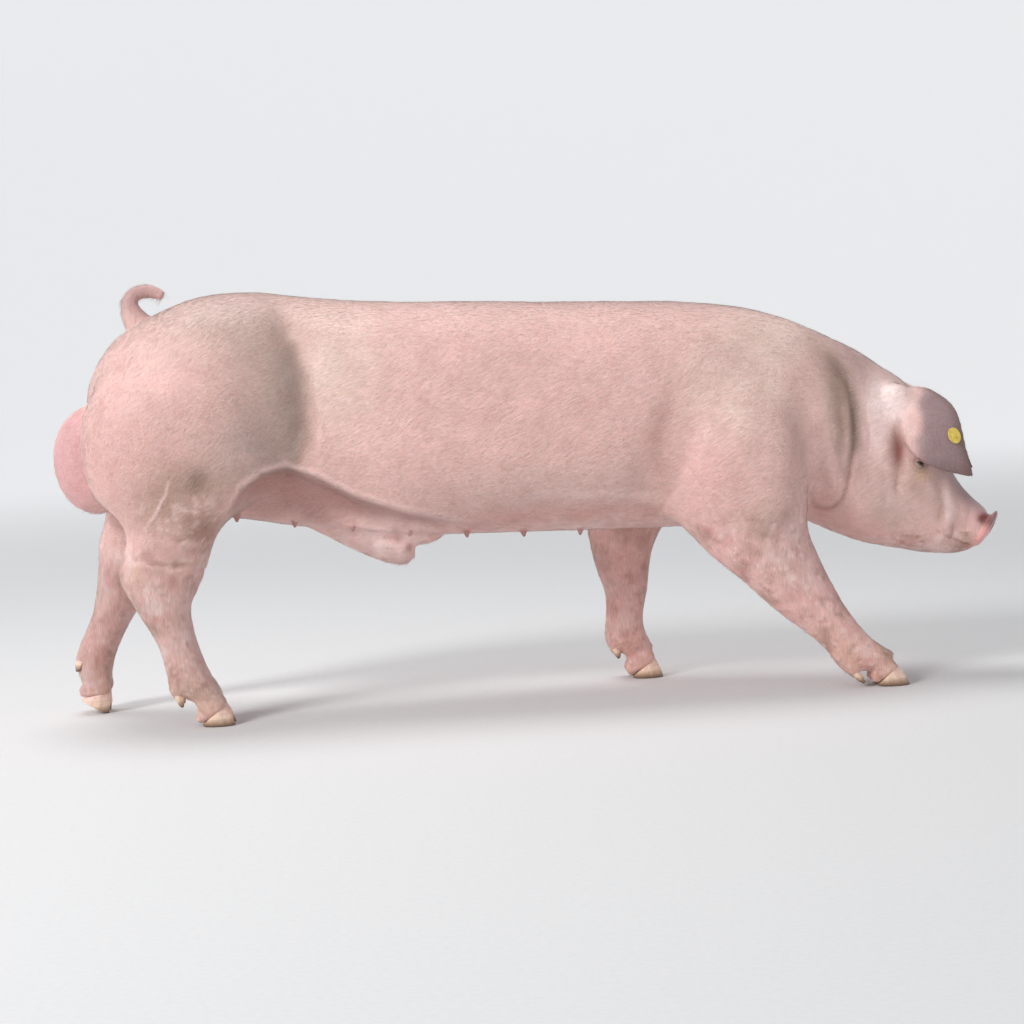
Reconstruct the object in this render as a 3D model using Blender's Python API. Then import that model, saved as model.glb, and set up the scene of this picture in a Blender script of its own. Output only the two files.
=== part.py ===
"""A white lop-eared boar in mid stride, life size, as a still museum model in parted solids.

Metres, +Z up, the snout towards +X, the boar's right side towards -Y, and the floor at Z = 0.
The soft masses are lofts of oval sections along the body and down each limb. They are fused
by a voxel remesh, softened where one muscle runs into the next, thinned to flat facets, and
then parted with thin cuts. The body is modelled straight, and turn_head() bends the neck.
"""

import math

import bmesh
import bpy
import numpy as np
from mathutils import Matrix, Vector
from mathutils.bvhtree import BVHTree

# ---- driving dimensions -------------------------------------------------------------------
GAP = 0.0003  # clearance between two pieces that touch
SIDES = {"right": -1.0, "left": 1.0}

MASS_VOXEL = 0.0085  # cell of the remesh that fuses the large masses
FINE_VOXEL = 0.0040  # cell of the remesh that adds ears, digits, teats and tail
TRIANGLES = {"body": 950, "head": 990, "fine": 510}  # flesh, before it is parted
RING = 40  # points round one section of a loft

LIMB_SPARE = 0.0055  # what softening takes off a limb, all round

BEND_FROM, BEND_TO = 0.66, 0.92  # where along the body the neck bends
HEAD_TURN = math.radians(18.0)  # towards the boar's right
LEG_TO_THROAT = (0.235, 0.275)  # the bend fades out over these heights, above the forelegs

# Trunk and neck: x, top, bottom, half width, level of the greatest width as a share
TRUNK = [
    (-0.944, 0.748, 0.640, 0.034, 0.50),
    (-0.918, 0.806, 0.575, 0.090, 0.52),
    (-0.870, 0.868, 0.510, 0.146, 0.56),
    (-0.790, 0.912, 0.465, 0.182, 0.60),
    (-0.700, 0.945, 0.452, 0.196, 0.62),
    (-0.610, 0.957, 0.441, 0.200, 0.62),
    (-0.500, 0.948, 0.419, 0.193, 0.60),
    (-0.380, 0.929, 0.402, 0.194, 0.56),
    (-0.240, 0.918, 0.384, 0.204, 0.52),
    (-0.080, 0.911, 0.378, 0.215, 0.48),
    (0.080, 0.901, 0.374, 0.221, 0.47),
    (0.220, 0.894, 0.370, 0.222, 0.47),
    (0.350, 0.889, 0.367, 0.214, 0.49),
    (0.454, 0.879, 0.368, 0.202, 0.52),
    (0.568, 0.860, 0.381, 0.184, 0.52),
    (0.640, 0.837, 0.375, 0.172, 0.50),
    (0.710, 0.805, 0.346, 0.161, 0.46),
    (0.771, 0.774, 0.319, 0.150, 0.42),
    (0.830, 0.739, 0.301, 0.136, 0.38),
    (0.880, 0.695, 0.298, 0.112, 0.36),
    (0.905, 0.635, 0.328, 0.070, 0.40),
]

# Head: bottom x and z, top x and z, half width, level of the greatest width as a share
HEAD = [
    (0.770, 0.350, 0.850, 0.700, 0.110, 0.40),
    (0.800, 0.322, 0.868, 0.708, 0.126, 0.38),
    (0.845, 0.299, 0.902, 0.686, 0.126, 0.36),
    (0.893, 0.289, 0.934, 0.652, 0.118, 0.38),
    (0.932, 0.281, 0.961, 0.606, 0.109, 0.44),
    (0.962, 0.277, 0.983, 0.551, 0.098, 0.50),
    (0.990, 0.275, 1.003, 0.496, 0.083, 0.48),
    (1.015, 0.275, 1.024, 0.449, 0.067, 0.50),
    (1.034, 0.278, 1.044, 0.420, 0.056, 0.52),
    (1.048, 0.283, 1.064, 0.397, 0.049, 0.52),
    (1.057, 0.289, 1.084, 0.380, 0.047, 0.52),
    (1.062, 0.294, 1.094, 0.370, 0.043, 0.52),
]
DISC_CENTRE, DISC_TILT = (1.086, 0.000, 0.331), math.radians(33.0)
DISC_HALF_WIDTH, DISC_HALF_HEIGHT, DISC_HALF_DEPTH = 0.052, 0.048, 0.011
NOSTRIL_OUT, NOSTRIL_UP = 0.020, 0.004  # on the disc, from its middle
NOSTRIL_WIDTH, NOSTRIL_HEIGHT, NOSTRIL_DEPTH = 0.0085, 0.0115, 0.022

EYE_PLACE, EYE_RADIUS = (0.953, 0.491), 0.0125  # x and z of the eye
EYE_DEPTH = 0.0080  # from the skin in to the eye's middle

# Limbs: rear x and z, front x and z, y of the middle, half width
HIND_RIGHT = [
    (-0.850, 0.800, -0.600, 0.840, 0.090, 0.060),
    (-0.918, 0.745, -0.530, 0.760, 0.110, 0.104),
    (-0.950, 0.670, -0.500, 0.670, 0.124, 0.112),
    (-0.948, 0.590, -0.520, 0.560, 0.132, 0.104),
    (-0.928, 0.516, -0.580, 0.490, 0.135, 0.092),
    (-0.876, 0.466, -0.642, 0.452, 0.137, 0.079),
    (-0.858, 0.425, -0.670, 0.412, 0.138, 0.065),
    (-0.876, 0.380, -0.682, 0.376, 0.138, 0.053),
    (-0.883, 0.344, -0.697, 0.342, 0.138, 0.046),
    (-0.871, 0.308, -0.716, 0.303, 0.138, 0.043),
    (-0.850, 0.268, -0.733, 0.268, 0.137, 0.040),
    (-0.825, 0.223, -0.731, 0.222, 0.136, 0.037),
    (-0.806, 0.184, -0.722, 0.180, 0.135, 0.036),
    (-0.796, 0.145, -0.711, 0.145, 0.134, 0.037),
    (-0.786, 0.105, -0.699, 0.112, 0.133, 0.040),
    (-0.762, 0.072, -0.682, 0.082, 0.132, 0.041),
    (-0.742, 0.054, -0.672, 0.062, 0.132, 0.036),
]
HIND_LEFT = [
    (-0.850, 0.800, -0.600, 0.840, 0.090, 0.060),
    (-0.922, 0.745, -0.545, 0.760, 0.110, 0.104),
    (-0.952, 0.670, -0.535, 0.670, 0.124, 0.112),
    (-0.952, 0.585, -0.570, 0.560, 0.132, 0.104),
    (-0.940, 0.520, -0.640, 0.465, 0.139, 0.092),
    (-0.926, 0.475, -0.710, 0.400, 0.145, 0.078),
    (-0.936, 0.436, -0.772, 0.352, 0.149, 0.064),
    (-0.950, 0.400, -0.812, 0.316, 0.152, 0.052),
    (-0.953, 0.352, -0.842, 0.284, 0.155, 0.045),
    (-0.960, 0.290, -0.868, 0.246, 0.157, 0.041),
    (-0.972, 0.236, -0.889, 0.214, 0.158, 0.038),
    (-0.990, 0.194, -0.911, 0.176, 0.159, 0.036),
    (-1.008, 0.158, -0.930, 0.138, 0.159, 0.037),
    (-1.016, 0.118, -0.942, 0.104, 0.159, 0.040),
    (-1.013, 0.085, -0.946, 0.074, 0.159, 0.040),
    (-1.006, 0.066, -0.948, 0.056, 0.159, 0.035),
]
FORE_RIGHT = [
    (0.400, 0.690, 0.580, 0.730, 0.130, 0.050),
    (0.350, 0.610, 0.625, 0.640, 0.135, 0.082),
    (0.335, 0.520, 0.650, 0.560, 0.140, 0.088),
    (0.338, 0.450, 0.660, 0.480, 0.143, 0.086),
    (0.356, 0.398, 0.660, 0.420, 0.146, 0.080),
    (0.392, 0.356, 0.650, 0.366, 0.149, 0.072),
    (0.440, 0.305, 0.661, 0.320, 0.152, 0.062),
    (0.494, 0.258, 0.677, 0.279, 0.155, 0.053),
    (0.546, 0.206, 0.698, 0.232, 0.157, 0.046),
    (0.596, 0.160, 0.724, 0.181, 0.159, 0.041),
    (0.640, 0.126, 0.752, 0.140, 0.160, 0.038),
    (0.674, 0.096, 0.778, 0.107, 0.161, 0.038),
    (0.700, 0.064, 0.802, 0.087, 0.162, 0.041),
    (0.734, 0.044, 0.823, 0.074, 0.162, 0.041),
    (0.764, 0.032, 0.835, 0.062, 0.162, 0.036),
]
FORE_LEFT = [
    (0.330, 0.690, 0.520, 0.730, 0.130, 0.050),
    (0.270, 0.610, 0.550, 0.640, 0.135, 0.082),
    (0.225, 0.520, 0.545, 0.560, 0.140, 0.088),
    (0.196, 0.450, 0.500, 0.480, 0.146, 0.084),
    (0.186, 0.398, 0.430, 0.410, 0.151, 0.076),
    (0.190, 0.350, 0.358, 0.352, 0.156, 0.066),
    (0.198, 0.304, 0.335, 0.306, 0.160, 0.056),
    (0.209, 0.256, 0.325, 0.260, 0.164, 0.047),
    (0.224, 0.208, 0.318, 0.206, 0.168, 0.040),
    (0.226, 0.160, 0.307, 0.155, 0.171, 0.037),
    (0.221, 0.112, 0.308, 0.114, 0.174, 0.040),
    (0.236, 0.078, 0.321, 0.082, 0.177, 0.041),
    (0.256, 0.056, 0.334, 0.060, 0.179, 0.036),
]
LIMBS = {
    "hind_right": HIND_RIGHT,
    "hind_left": HIND_LEFT,
    "fore_right": FORE_RIGHT,
    "fore_left": FORE_LEFT,
}

# Feet: toe tip x, y of the middle, pitch of the toes down, lean back of the claws and of
# the pastern over them, and the dewclaws' base and tip as x and z
FEET = {
    "hind_right": (-0.645, 0.132, 0.0, 0.021, 0.42, (-0.776, 0.096), (-0.761, 0.047)),
    "hind_left": (-0.949, 0.159, 30.0, 0.024, 0.15, (-1.001, 0.146), (-1.018, 0.101)),
    "fore_right": (0.863, 0.162, 0.0, 0.028, 0.92, (0.716, 0.058), (0.757, 0.010)),
    "fore_left": (0.352, 0.181, 0.0, 0.020, 0.30, (0.234, 0.096), (0.246, 0.050)),
}
TIPTOE_SINK = 0.0045  # what the raised foot's toe tips lose to their flat on the floor
CLAW_LENGTH, CLAW_HALF_WIDTH, CLAW_HEIGHT = 0.076, 0.0205, 0.046
CLAW_APART = 0.0275  # from the middle of the foot to the middle of one claw
CLAW_SPLAY = math.radians(3.5)
DEWCLAW_APART = 0.027

# One toe above its claw: rear and front from the toe tip, height of each, half width
TOE = [
    (-0.071, 0.012, -0.004, 0.036, 0.0180),
    (-0.077, 0.020, 0.002, 0.046, 0.0215),
    (-0.080, 0.036, 0.001, 0.060, 0.0222),
    (-0.082, 0.058, -0.008, 0.078, 0.0225),
    (-0.086, 0.084, -0.020, 0.100, 0.0200),
]

# Ear: the rear edge and the front edge from root to tip, as x, y and z
EAR_REAR = [
    (0.900, 0.058, 0.628),
    (0.902, 0.090, 0.592),
    (0.915, 0.112, 0.545),
    (0.942, 0.126, 0.506),
    (0.980, 0.132, 0.480),
    (1.017, 0.130, 0.467),
    (1.056, 0.124, 0.458),
]
EAR_FRONT = [
    (0.932, 0.036, 0.664),
    (0.966, 0.048, 0.655),
    (0.995, 0.062, 0.637),
    (1.017, 0.080, 0.610),
    (1.033, 0.096, 0.566),
    (1.047, 0.109, 0.515),
    (1.064, 0.120, 0.460),
]
# How far each ear's front edge is set forward, root to tip: the right ear's is the wider one
EAR_AHEAD = {
    -1.0: (0.000, 0.012, 0.018, 0.020, 0.017, 0.011, 0.008),
    1.0: (0.000, 0.000, 0.000, 0.000, -0.003, -0.006, -0.008),
}
EAR_HALF_THICK, EAR_BOW = 0.0046, 0.017
EAR_CUT, EAR_SPARE = 0.17, 0.0070  # where the ear is parted, and how wide of it the cut goes
# The thick root of the ear and the rolled lobe behind it: centre and half lengths
EAR_ROOT = [
    ((0.900, 0.066, 0.636), (0.040, 0.030, 0.040)),
    ((0.898, 0.090, 0.580), (0.020, 0.017, 0.036)),
]

# Tail: x, y, z, radius
TAIL = [
    (-0.796, 0.000, 0.864, 0.040),
    (-0.814, 0.000, 0.892, 0.034),
    (-0.829, 0.002, 0.917, 0.0270),
    (-0.834, 0.006, 0.939, 0.0210),
    (-0.824, 0.010, 0.959, 0.0170),
    (-0.802, 0.010, 0.967, 0.0165),
    (-0.776, 0.006, 0.963, 0.0150),
    (-0.757, 0.000, 0.953, 0.0120),
]

# Scrotum: one oval for each testis, as centre and half lengths
TESTIS_CENTRE, TESTIS_SIZE = (-0.930, 0.037, 0.598), (0.093, 0.064, 0.124)

# Sheath: x, y, z, radius
SHEATH = [
    (-0.480, 0.0, 0.455, 0.028),
    (-0.420, 0.0, 0.428, 0.034),
    (-0.360, 0.0, 0.399, 0.039),
    (-0.310, 0.0, 0.376, 0.042),
    (-0.268, 0.0, 0.360, 0.042),
    (-0.240, 0.0, 0.356, 0.038),
    (-0.224, 0.0, 0.356, 0.020),
]
SHEATH_WEB, SHEATH_WEB_SIZE = (-0.230, 0.0, 0.387), (0.076, 0.038, 0.029)

TEAT_FIRST = {"right": -0.621, "left": -0.554}  # the two rows are staggered
TEAT_STEP, TEAT_PAIRS = 0.128, 7
TEAT_OUT, TEAT_RADIUS, TEAT_LENGTH = 0.070, 0.0065, 0.015

# Flank fold: the edge of skin from the stifle over the groin and down to the belly, as x and z
FLANK_FOLD = [
    (-0.640, 0.470),
    (-0.606, 0.525),
    (-0.560, 0.558),
    (-0.505, 0.568),
    (-0.430, 0.537),
    (-0.350, 0.490),
    (-0.250, 0.452),
    (-0.150, 0.428),
    (0.000, 0.403),
]
FOLD_DEPTH = 0.030

# Muscles and hollows of each side: centre, half lengths, how far the surface moves out
FORMS = [
    ((-0.465, 0.19, 0.70), (0.034, 0.14, 0.19), -0.012),
    ((-0.490, 0.15, 0.88), (0.045, 0.12, 0.06), -0.006),
    ((-0.720, 0.23, 0.66), (0.140, 0.14, 0.16), 0.010),
    ((-0.655, 0.22, 0.50), (0.050, 0.10, 0.05), 0.009),
    ((0.430, 0.21, 0.68), (0.110, 0.12, 0.15), 0.007),
    ((0.600, 0.20, 0.53), (0.055, 0.10, 0.09), 0.011),
    ((0.290, 0.22, 0.50), (0.040, 0.10, 0.12), -0.011),
    ((0.680, 0.15, 0.44), (0.028, 0.10, 0.07), -0.014),
    ((0.762, 0.15, 0.56), (0.020, 0.12, 0.14), -0.009),
    ((0.840, 0.13, 0.40), (0.060, 0.06, 0.08), 0.008),
    ((1.008, 0.06, 0.352), (0.020, 0.03, 0.022), 0.006),
    ((0.990, 0.08, 0.448), (0.020, 0.03, 0.026), -0.006),
    ((0.953, 0.11, 0.493), (0.024, 0.04, 0.019), 0.007),
]

TAG_PLACE = (0.63, 0.74)  # on the ear: share of its length, and of its width from the rear
TAG_TURN = 0.40  # how far the tag follows the ear's bow
TAG_HALF_WIDTH, TAG_HALF_HEIGHT, TAG_THICK = 0.0145, 0.0200, 0.0026
TAG_BACK, PIN_RADIUS, TAG_CLEAR = 0.0120, 0.0026, 0.0010

# The boxes that part the flesh, in the order they are cut: centre, half lengths, pitch in
# degrees, and the distance along the body that they are turned with. A pitch lowers the
# front of a box, and a piece is what lies inside its box.
PARTS = {
    "snout": ((1.112, 0.0, 0.316), (0.050, 0.090, 0.090), 33.0, 1.0),
    "lower_jaw": ((1.020, 0.0, 0.232), (0.100, 0.120, 0.078), 16.0, 1.0),
    "head": ((1.068, 0.0, 0.480), (0.200, 0.250, 0.300), 10.0, 0.87),
    "neck": ((0.870, 0.0, 0.560), (0.200, 0.260, 0.290), 12.0, 0.0),
    "tail": ((-0.790, 0.0, 0.982), (0.090, 0.060, 0.058), -20.0, 0.0),
    "scrotum": ((-1.040, 0.0, 0.600), (0.090, 0.120, 0.170), -4.0, 0.0),
    "sheath": ((-0.330, 0.0, 0.330), (0.160, 0.052, 0.060), 10.0, 0.0),
    "lower_leg_hind_right": ((-0.740, -0.180, 0.130), (0.200, 0.120, 0.170), 0.0, 0.0),
    "lower_leg_hind_left": ((-0.940, 0.180, 0.150), (0.200, 0.120, 0.170), -12.0, 0.0),
    "lower_leg_fore_right": ((0.800, -0.180, 0.060), (0.165, 0.120, 0.200), 45.0, 0.0),
    "lower_leg_fore_left": ((0.280, 0.180, 0.040), (0.200, 0.120, 0.170), 0.0, 0.0),
    "upper_leg_hind_right": ((-0.900, -0.215, 0.315), (0.500, 0.150, 0.280), 42.0, 0.0),
    "upper_leg_hind_left": ((-0.900, 0.215, 0.315), (0.500, 0.150, 0.280), 42.0, 0.0),
    "upper_leg_fore_right": ((0.560, -0.225, 0.260), (0.238, 0.150, 0.210), 0.0, 0.0),
    "upper_leg_fore_left": ((0.360, 0.225, 0.300), (0.195, 0.150, 0.170), 0.0, 0.0),
}
UNDER_FLOOR = ((0.0, 0.0, -0.1), (3.0, 1.0, 0.1))

# Slot: colour, roughness
MATERIALS = {
    "skin": ((0.800, 0.545, 0.490, 1.0), 0.62),
    "horn": ((0.620, 0.500, 0.370, 1.0), 0.50),
    "eye": ((0.060, 0.035, 0.025, 1.0), 0.12),
    "tag": ((0.860, 0.700, 0.200, 1.0), 0.45),
}


# ---- small tools --------------------------------------------------------------------------
def smoothstep(low, high, value):
    share = np.clip((value - low) / (high - low), 0.0, 1.0)
    return share * share * (3.0 - 2.0 * share)


def flow(points, step):
    """A smooth curve through rows of numbers, with a row about every step metres."""
    rows = np.array(points, float)
    lengths = np.linalg.norm(np.diff(rows[:, :3], axis=0), axis=1)
    along = np.concatenate([[0.0], np.cumsum(lengths)])
    slopes = np.gradient(rows, along, axis=0)
    where = np.linspace(0.0, along[-1], max(3, int(along[-1] / step) + 1))
    span = np.clip(np.searchsorted(along, where, side="right") - 1, 0, len(rows) - 2)
    width = (along[span + 1] - along[span])[:, None]
    part = (where - along[span])[:, None] / width
    return (
        (2 * part**3 - 3 * part**2 + 1) * rows[span]
        + (part**3 - 2 * part**2 + part) * width * slopes[span]
        + (3 * part**2 - 2 * part**3) * rows[span + 1]
        + (part**3 - part**2) * width * slopes[span + 1]
    )


def skin_rings(bm, rings):
    """Close a row of rings of points into one body of triangles, and face it outward.

    The diagonals are fixed, so that a piece and the cutter for its hollow stay parallel.
    """
    made = [[bm.verts.new(point) for point in ring] for ring in rings]
    faces = []
    for first, second in zip(made, made[1:]):
        for a in range(len(first)):
            b = (a + 1) % len(first)
            faces.append(bm.faces.new((first[a], first[b], second[b], second[a])))
    faces.append(bm.faces.new(made[0][::-1]))
    faces.append(bm.faces.new(made[-1]))
    bmesh.ops.recalc_face_normals(bm, faces=faces)
    bmesh.ops.triangulate(bm, faces=faces, quad_method="FIXED")


def oval(low, high, half_width, share, power):
    """One section: from the low point to the high one, widest at a share of the way up."""
    angles = np.linspace(0.0, 2.0 * math.pi, RING, endpoint=False)
    across, upward = np.cos(angles), np.sin(angles)
    across = np.sign(across) * np.abs(across) ** (2.0 / power)
    upward = np.sign(upward) * np.abs(upward) ** (2.0 / power)
    level = np.where(upward > 0.0, share + (1.0 - share) * upward, share * (1.0 + upward))
    points = low[None, :] + (high - low)[None, :] * level[:, None]
    points[:, 1] += half_width * across
    return points


def side_row(points, side):
    """The named points of one side, with y turned to that side."""
    return [(row[0], row[1] * side, row[2]) for row in points]


def add_trunk(bm):
    rings = []
    for x, top, bottom, half, share in flow(TRUNK, 0.02):
        rings.append(oval(np.array([x, 0.0, bottom]), np.array([x, 0.0, top]), half, share, 2.25))
    skin_rings(bm, rings)


def add_head(bm):
    rings = []
    for low_x, low_z, high_x, high_z, half, share in flow(HEAD, 0.01):
        low, high = np.array([low_x, 0.0, low_z]), np.array([high_x, 0.0, high_z])
        rings.append(oval(low, high, half, share, 2.3))
    skin_rings(bm, rings)


def add_limb(bm, stations, side):
    rings = []
    for rear_x, rear_z, front_x, front_z, y, half in flow(stations, 0.012):
        rear, front = np.array([rear_x, y * side, rear_z]), np.array([front_x, y * side, front_z])
        spare = LIMB_SPARE * (front - rear) / np.linalg.norm(front - rear)
        rings.append(oval(rear - spare, front + spare, half + LIMB_SPARE, 0.5, 2.1))
    skin_rings(bm, rings)


def add_tube(bm, points, step=0.006, sides=20):
    """A round tube through rows of x, y, z and radius."""
    rows = flow(points, step)
    rings = []
    for index, row in enumerate(rows):
        before, after = rows[max(index - 1, 0), :3], rows[min(index + 1, len(rows) - 1), :3]
        turn = Vector(after - before).to_track_quat("Z", "X").to_matrix()
        ring = []
        for angle in np.linspace(0.0, 2.0 * math.pi, sides, endpoint=False):
            ring.append(Vector(row[:3]) + turn @ Vector((math.cos(angle), math.sin(angle), 0)) * row[3])
        rings.append(ring)
    skin_rings(bm, rings)


def add_ball(bm, centre, half_lengths, turn=Matrix.Identity(3), detail=4):
    """An oval body, facing outward."""
    place = Matrix.Translation(centre) @ turn.to_4x4() @ Matrix.Diagonal((*half_lengths, 1.0))
    bmesh.ops.create_icosphere(bm, subdivisions=detail, radius=1.0, matrix=place)


def ear_rows(side):
    """Rear edge, middle and front edge of one ear, root to tip, and the outward direction."""
    rear = flow(side_row(EAR_REAR, side), 0.004)
    count = len(rear)
    front = [(x + ahead, y, z) for (x, y, z), ahead in zip(EAR_FRONT, EAR_AHEAD[side])]
    front = flow(side_row(front, side), 0.001)
    front = front[np.linspace(0, len(front) - 1, count).round().astype(int)]
    middle = 0.5 * (rear + front)
    outward = np.cross(front - rear, np.gradient(middle, axis=0))
    outward /= np.linalg.norm(outward, axis=1)[:, None]
    outward *= np.sign(outward[:, 1] * side)[:, None]
    return rear, middle, front, outward


def add_ear(bm, side, spare=0.0, first=0.0, step=1, sides=RING):
    """A bowed leaf. With some spare all round, it cuts the ear off from its share first on."""
    rear, middle, front, outward = ear_rows(side)
    angles = np.linspace(0.0, 2.0 * math.pi, sides, endpoint=False)
    edge = np.sign(np.cos(angles)) * np.abs(np.cos(angles)) ** 0.8
    flat = np.sign(np.sin(angles)) * np.abs(np.sin(angles)) ** 0.45
    shares = np.linspace(0.0, 1.0, len(rear))
    onward = middle[-1] - middle[0]
    onward /= np.linalg.norm(onward)
    rings = []
    for index in np.flatnonzero(shares >= first)[::step]:
        along = shares[index]
        thick = EAR_HALF_THICK * (1.0 + 1.3 * (1.0 - smoothstep(0.0, 0.35, along))) + spare
        bow = EAR_BOW * math.sin(math.pi * min(1.0, along * 1.1)) * (1.0 - edge**2)
        width = front[index] - rear[index]
        width *= 0.5 + spare / np.linalg.norm(width)
        lift = (flat * thick + bow)[:, None] * outward[index][None, :]
        rings.append(middle[index][None, :] + edge[:, None] * width[None, :] + lift)
    rings[0] = rings[0] - (spare - EAR_SPARE) * onward if spare else rings[0]
    rings[-1] = rings[-1] + spare * onward
    skin_rings(bm, rings)


def foot_side(name):
    return SIDES[name.split("_")[1]]


def foot_matrix(name, inner):
    """Places one toe of a foot: X towards the toes, Z up, and the toe tip at the origin."""
    toe_x, out, pitch = FEET[name][:3]
    sink = TIPTOE_SINK if pitch else 0.0
    place = Matrix.Translation((toe_x, out * foot_side(name), -sink))
    place = place @ Matrix.Rotation(math.radians(pitch), 4, "Y")
    place = place @ Matrix.Translation((0.0, inner * CLAW_APART, 0.0))
    return place @ Matrix.Rotation(inner * CLAW_SPLAY, 4, "Z")


def claw_rings(lean, grow):
    """Rings of one claw from the sole to the coronet, in the toe's own frame."""
    angles = np.linspace(0.0, 2.0 * math.pi, 10, endpoint=False)
    forward, across = np.cos(angles), np.sin(angles)
    across = across * (1.0 - 0.36 * np.clip(forward, 0.0, 1.0) ** 2)
    rings = []
    for level in np.linspace(0.0, 1.0, 3):
        toe = -lean * level**1.25
        heel = -CLAW_LENGTH - 0.003 * math.sin(math.pi * level) + 0.008 * level
        half_length = 0.5 * (toe - heel) + grow
        bulge = 1.0 + 0.05 * math.sin(math.pi * level) - 0.12 * level**2
        if level == 0.0:
            half_length, bulge = half_length - 0.002, bulge - 0.08
        ring = np.empty((len(angles), 3))
        ring[:, 0] = 0.5 * (toe + heel) + half_length * forward
        ring[:, 1] = (CLAW_HALF_WIDTH * bulge + grow) * across
        top = CLAW_HEIGHT * (0.64 + 0.36 * forward) + grow
        ring[:, 2] = (top + grow) * level - grow
        rings.append(ring)
    return rings


def add_claw(bm, name, inner, grow=0.0):
    """One main claw of a foot; inner is -1 or 1 for the two sides of the cleft."""
    place = foot_matrix(name, inner)
    rings = []
    for ring in claw_rings(FEET[name][3], grow):
        rings.append([place @ Vector(point) for point in ring])
    skin_rings(bm, rings)


def dewclaw_line(name, inner):
    base, tip = FEET[name][5:7]
    y = FEET[name][1] * foot_side(name)
    start = Vector((base[0], y + inner * (DEWCLAW_APART - 0.004), base[1]))
    end = Vector((tip[0], y + inner * (DEWCLAW_APART + 0.003), tip[1]))
    return start, end


def add_dewclaw(bm, name, inner, grow=0.0):
    start, end = dewclaw_line(name, inner)
    way = end - start
    turn = way.to_track_quat("Z", "Y").to_matrix()
    rings = []
    for along, radius in ((0.42, 0.0128), (0.78, 0.0108), (1.0, 0.0042)):
        centre = start + way * along + way.normalized() * (grow if along == 1.0 else -grow)
        ring = []
        for angle in np.linspace(0.0, 2.0 * math.pi, 7, endpoint=False):
            point = Vector((math.cos(angle), math.sin(angle) * 0.78, 0.0)) * (radius + grow)
            ring.append(centre + turn @ point)
        rings.append(ring)
    skin_rings(bm, rings)


def add_toes(bm, name):
    """The flesh of a foot: two toes over the claws, the heel bulbs and the dewclaw roots."""
    lean, pastern = FEET[name][3:5]
    for inner in (-1.0, 1.0):
        place = foot_matrix(name, inner)
        rings = []
        for rear_x, rear_z, front_x, front_z, half in flow(TOE, 0.006):
            rear_x -= pastern * max(0.0, rear_z - 0.030)
            front_x -= lean + pastern * max(0.0, front_z - 0.046)
            inward = -inner * 0.10 * max(0.0, rear_z - 0.020)
            rear, front = np.array([rear_x, inward, rear_z]), np.array([front_x, inward, front_z])
            ring = oval(rear, front, half, 0.5, 2.3)
            rings.append([place @ Vector(point) for point in ring])
        skin_rings(bm, rings)
        heel = place @ Vector((-CLAW_LENGTH - 0.002, 0.0, 0.022))
        add_ball(bm, heel, (0.014, 0.0175, 0.016), place.to_3x3(), 3)
        start, end = dewclaw_line(name, inner)
        way = end - start
        stub = [(*(start - way * 0.45), 0.013), (*(start + way * 0.1), 0.0155)]
        stub += [(*(start + way * 0.45), 0.0148), (*(start + way * 0.60), 0.0125)]
        add_tube(bm, stub, 0.006, 14)


def add_teats(bm, body):
    """Two staggered rows of teats, each set on the belly straight under its own place."""
    tree = BVHTree.FromPolygons([v.co for v in body.vertices], [p.vertices for p in body.polygons])
    for row, side in SIDES.items():
        for index in range(TEAT_PAIRS):
            x = TEAT_FIRST[row] + index * TEAT_STEP
            root = tree.ray_cast(Vector((x, side * TEAT_OUT, 0.0)), Vector((0.0, 0.0, 1.0)))[0]
            way = Vector((0.0, side * 0.25, -1.0)).normalized()
            line = [(*(root - way * 0.012), TEAT_RADIUS * 1.8), (*root, TEAT_RADIUS * 1.25)]
            line += [(*(root + way * 0.5 * TEAT_LENGTH), TEAT_RADIUS)]
            line += [(*(root + way * TEAT_LENGTH), TEAT_RADIUS * 0.75)]
            add_tube(bm, line, 0.004, 12)


def object_from(bm, name):
    mesh = bpy.data.meshes.new(name)
    bm.to_mesh(mesh)
    bm.free()
    thing = bpy.data.objects.new(name, mesh)
    bpy.context.scene.collection.objects.link(thing)
    return thing


def bake(thing):
    """Replace an object's mesh with the result of its modifiers."""
    graph = bpy.context.evaluated_depsgraph_get()
    mesh = bpy.data.meshes.new_from_object(thing.evaluated_get(graph))
    thing.modifiers.clear()
    old, thing.data = thing.data, mesh
    bpy.data.meshes.remove(old)
    return thing


def fuse(bm, name, voxel):
    thing = object_from(bm, name)
    remesh = thing.modifiers.new("Fuse", "REMESH")
    remesh.mode, remesh.voxel_size, remesh.adaptivity = "VOXEL", voxel, 0.0
    return bake(thing)


def points_of(thing):
    flat = np.empty(len(thing.data.vertices) * 3)
    thing.data.vertices.foreach_get("co", flat)
    return flat.reshape(-1, 3)


def set_points(thing, points):
    thing.data.vertices.foreach_set("co", points.reshape(-1))
    thing.data.update()


def soften(thing, weight, rounds):
    """Even out the surface, each point by its own weight."""
    flat = np.empty(len(thing.data.edges) * 2, np.int32)
    thing.data.edges.foreach_get("vertices", flat)
    ends = flat.reshape(-1, 2)
    points = points_of(thing)
    count = len(points)
    both = np.concatenate([ends[:, 0], ends[:, 1]])
    other = np.concatenate([ends[:, 1], ends[:, 0]])
    degree = np.bincount(both, minlength=count)[:, None]
    weight = np.broadcast_to(weight, (count,))[:, None]
    for _ in range(rounds):
        total = np.stack([np.bincount(both, points[other, k], count) for k in range(3)], axis=1)
        points = points + weight * (total / degree - points)
    set_points(thing, points)


def outward_of(thing):
    flat = np.empty(len(thing.data.vertices) * 3)
    thing.data.vertices.foreach_get("normal", flat)
    return flat.reshape(-1, 3)


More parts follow.
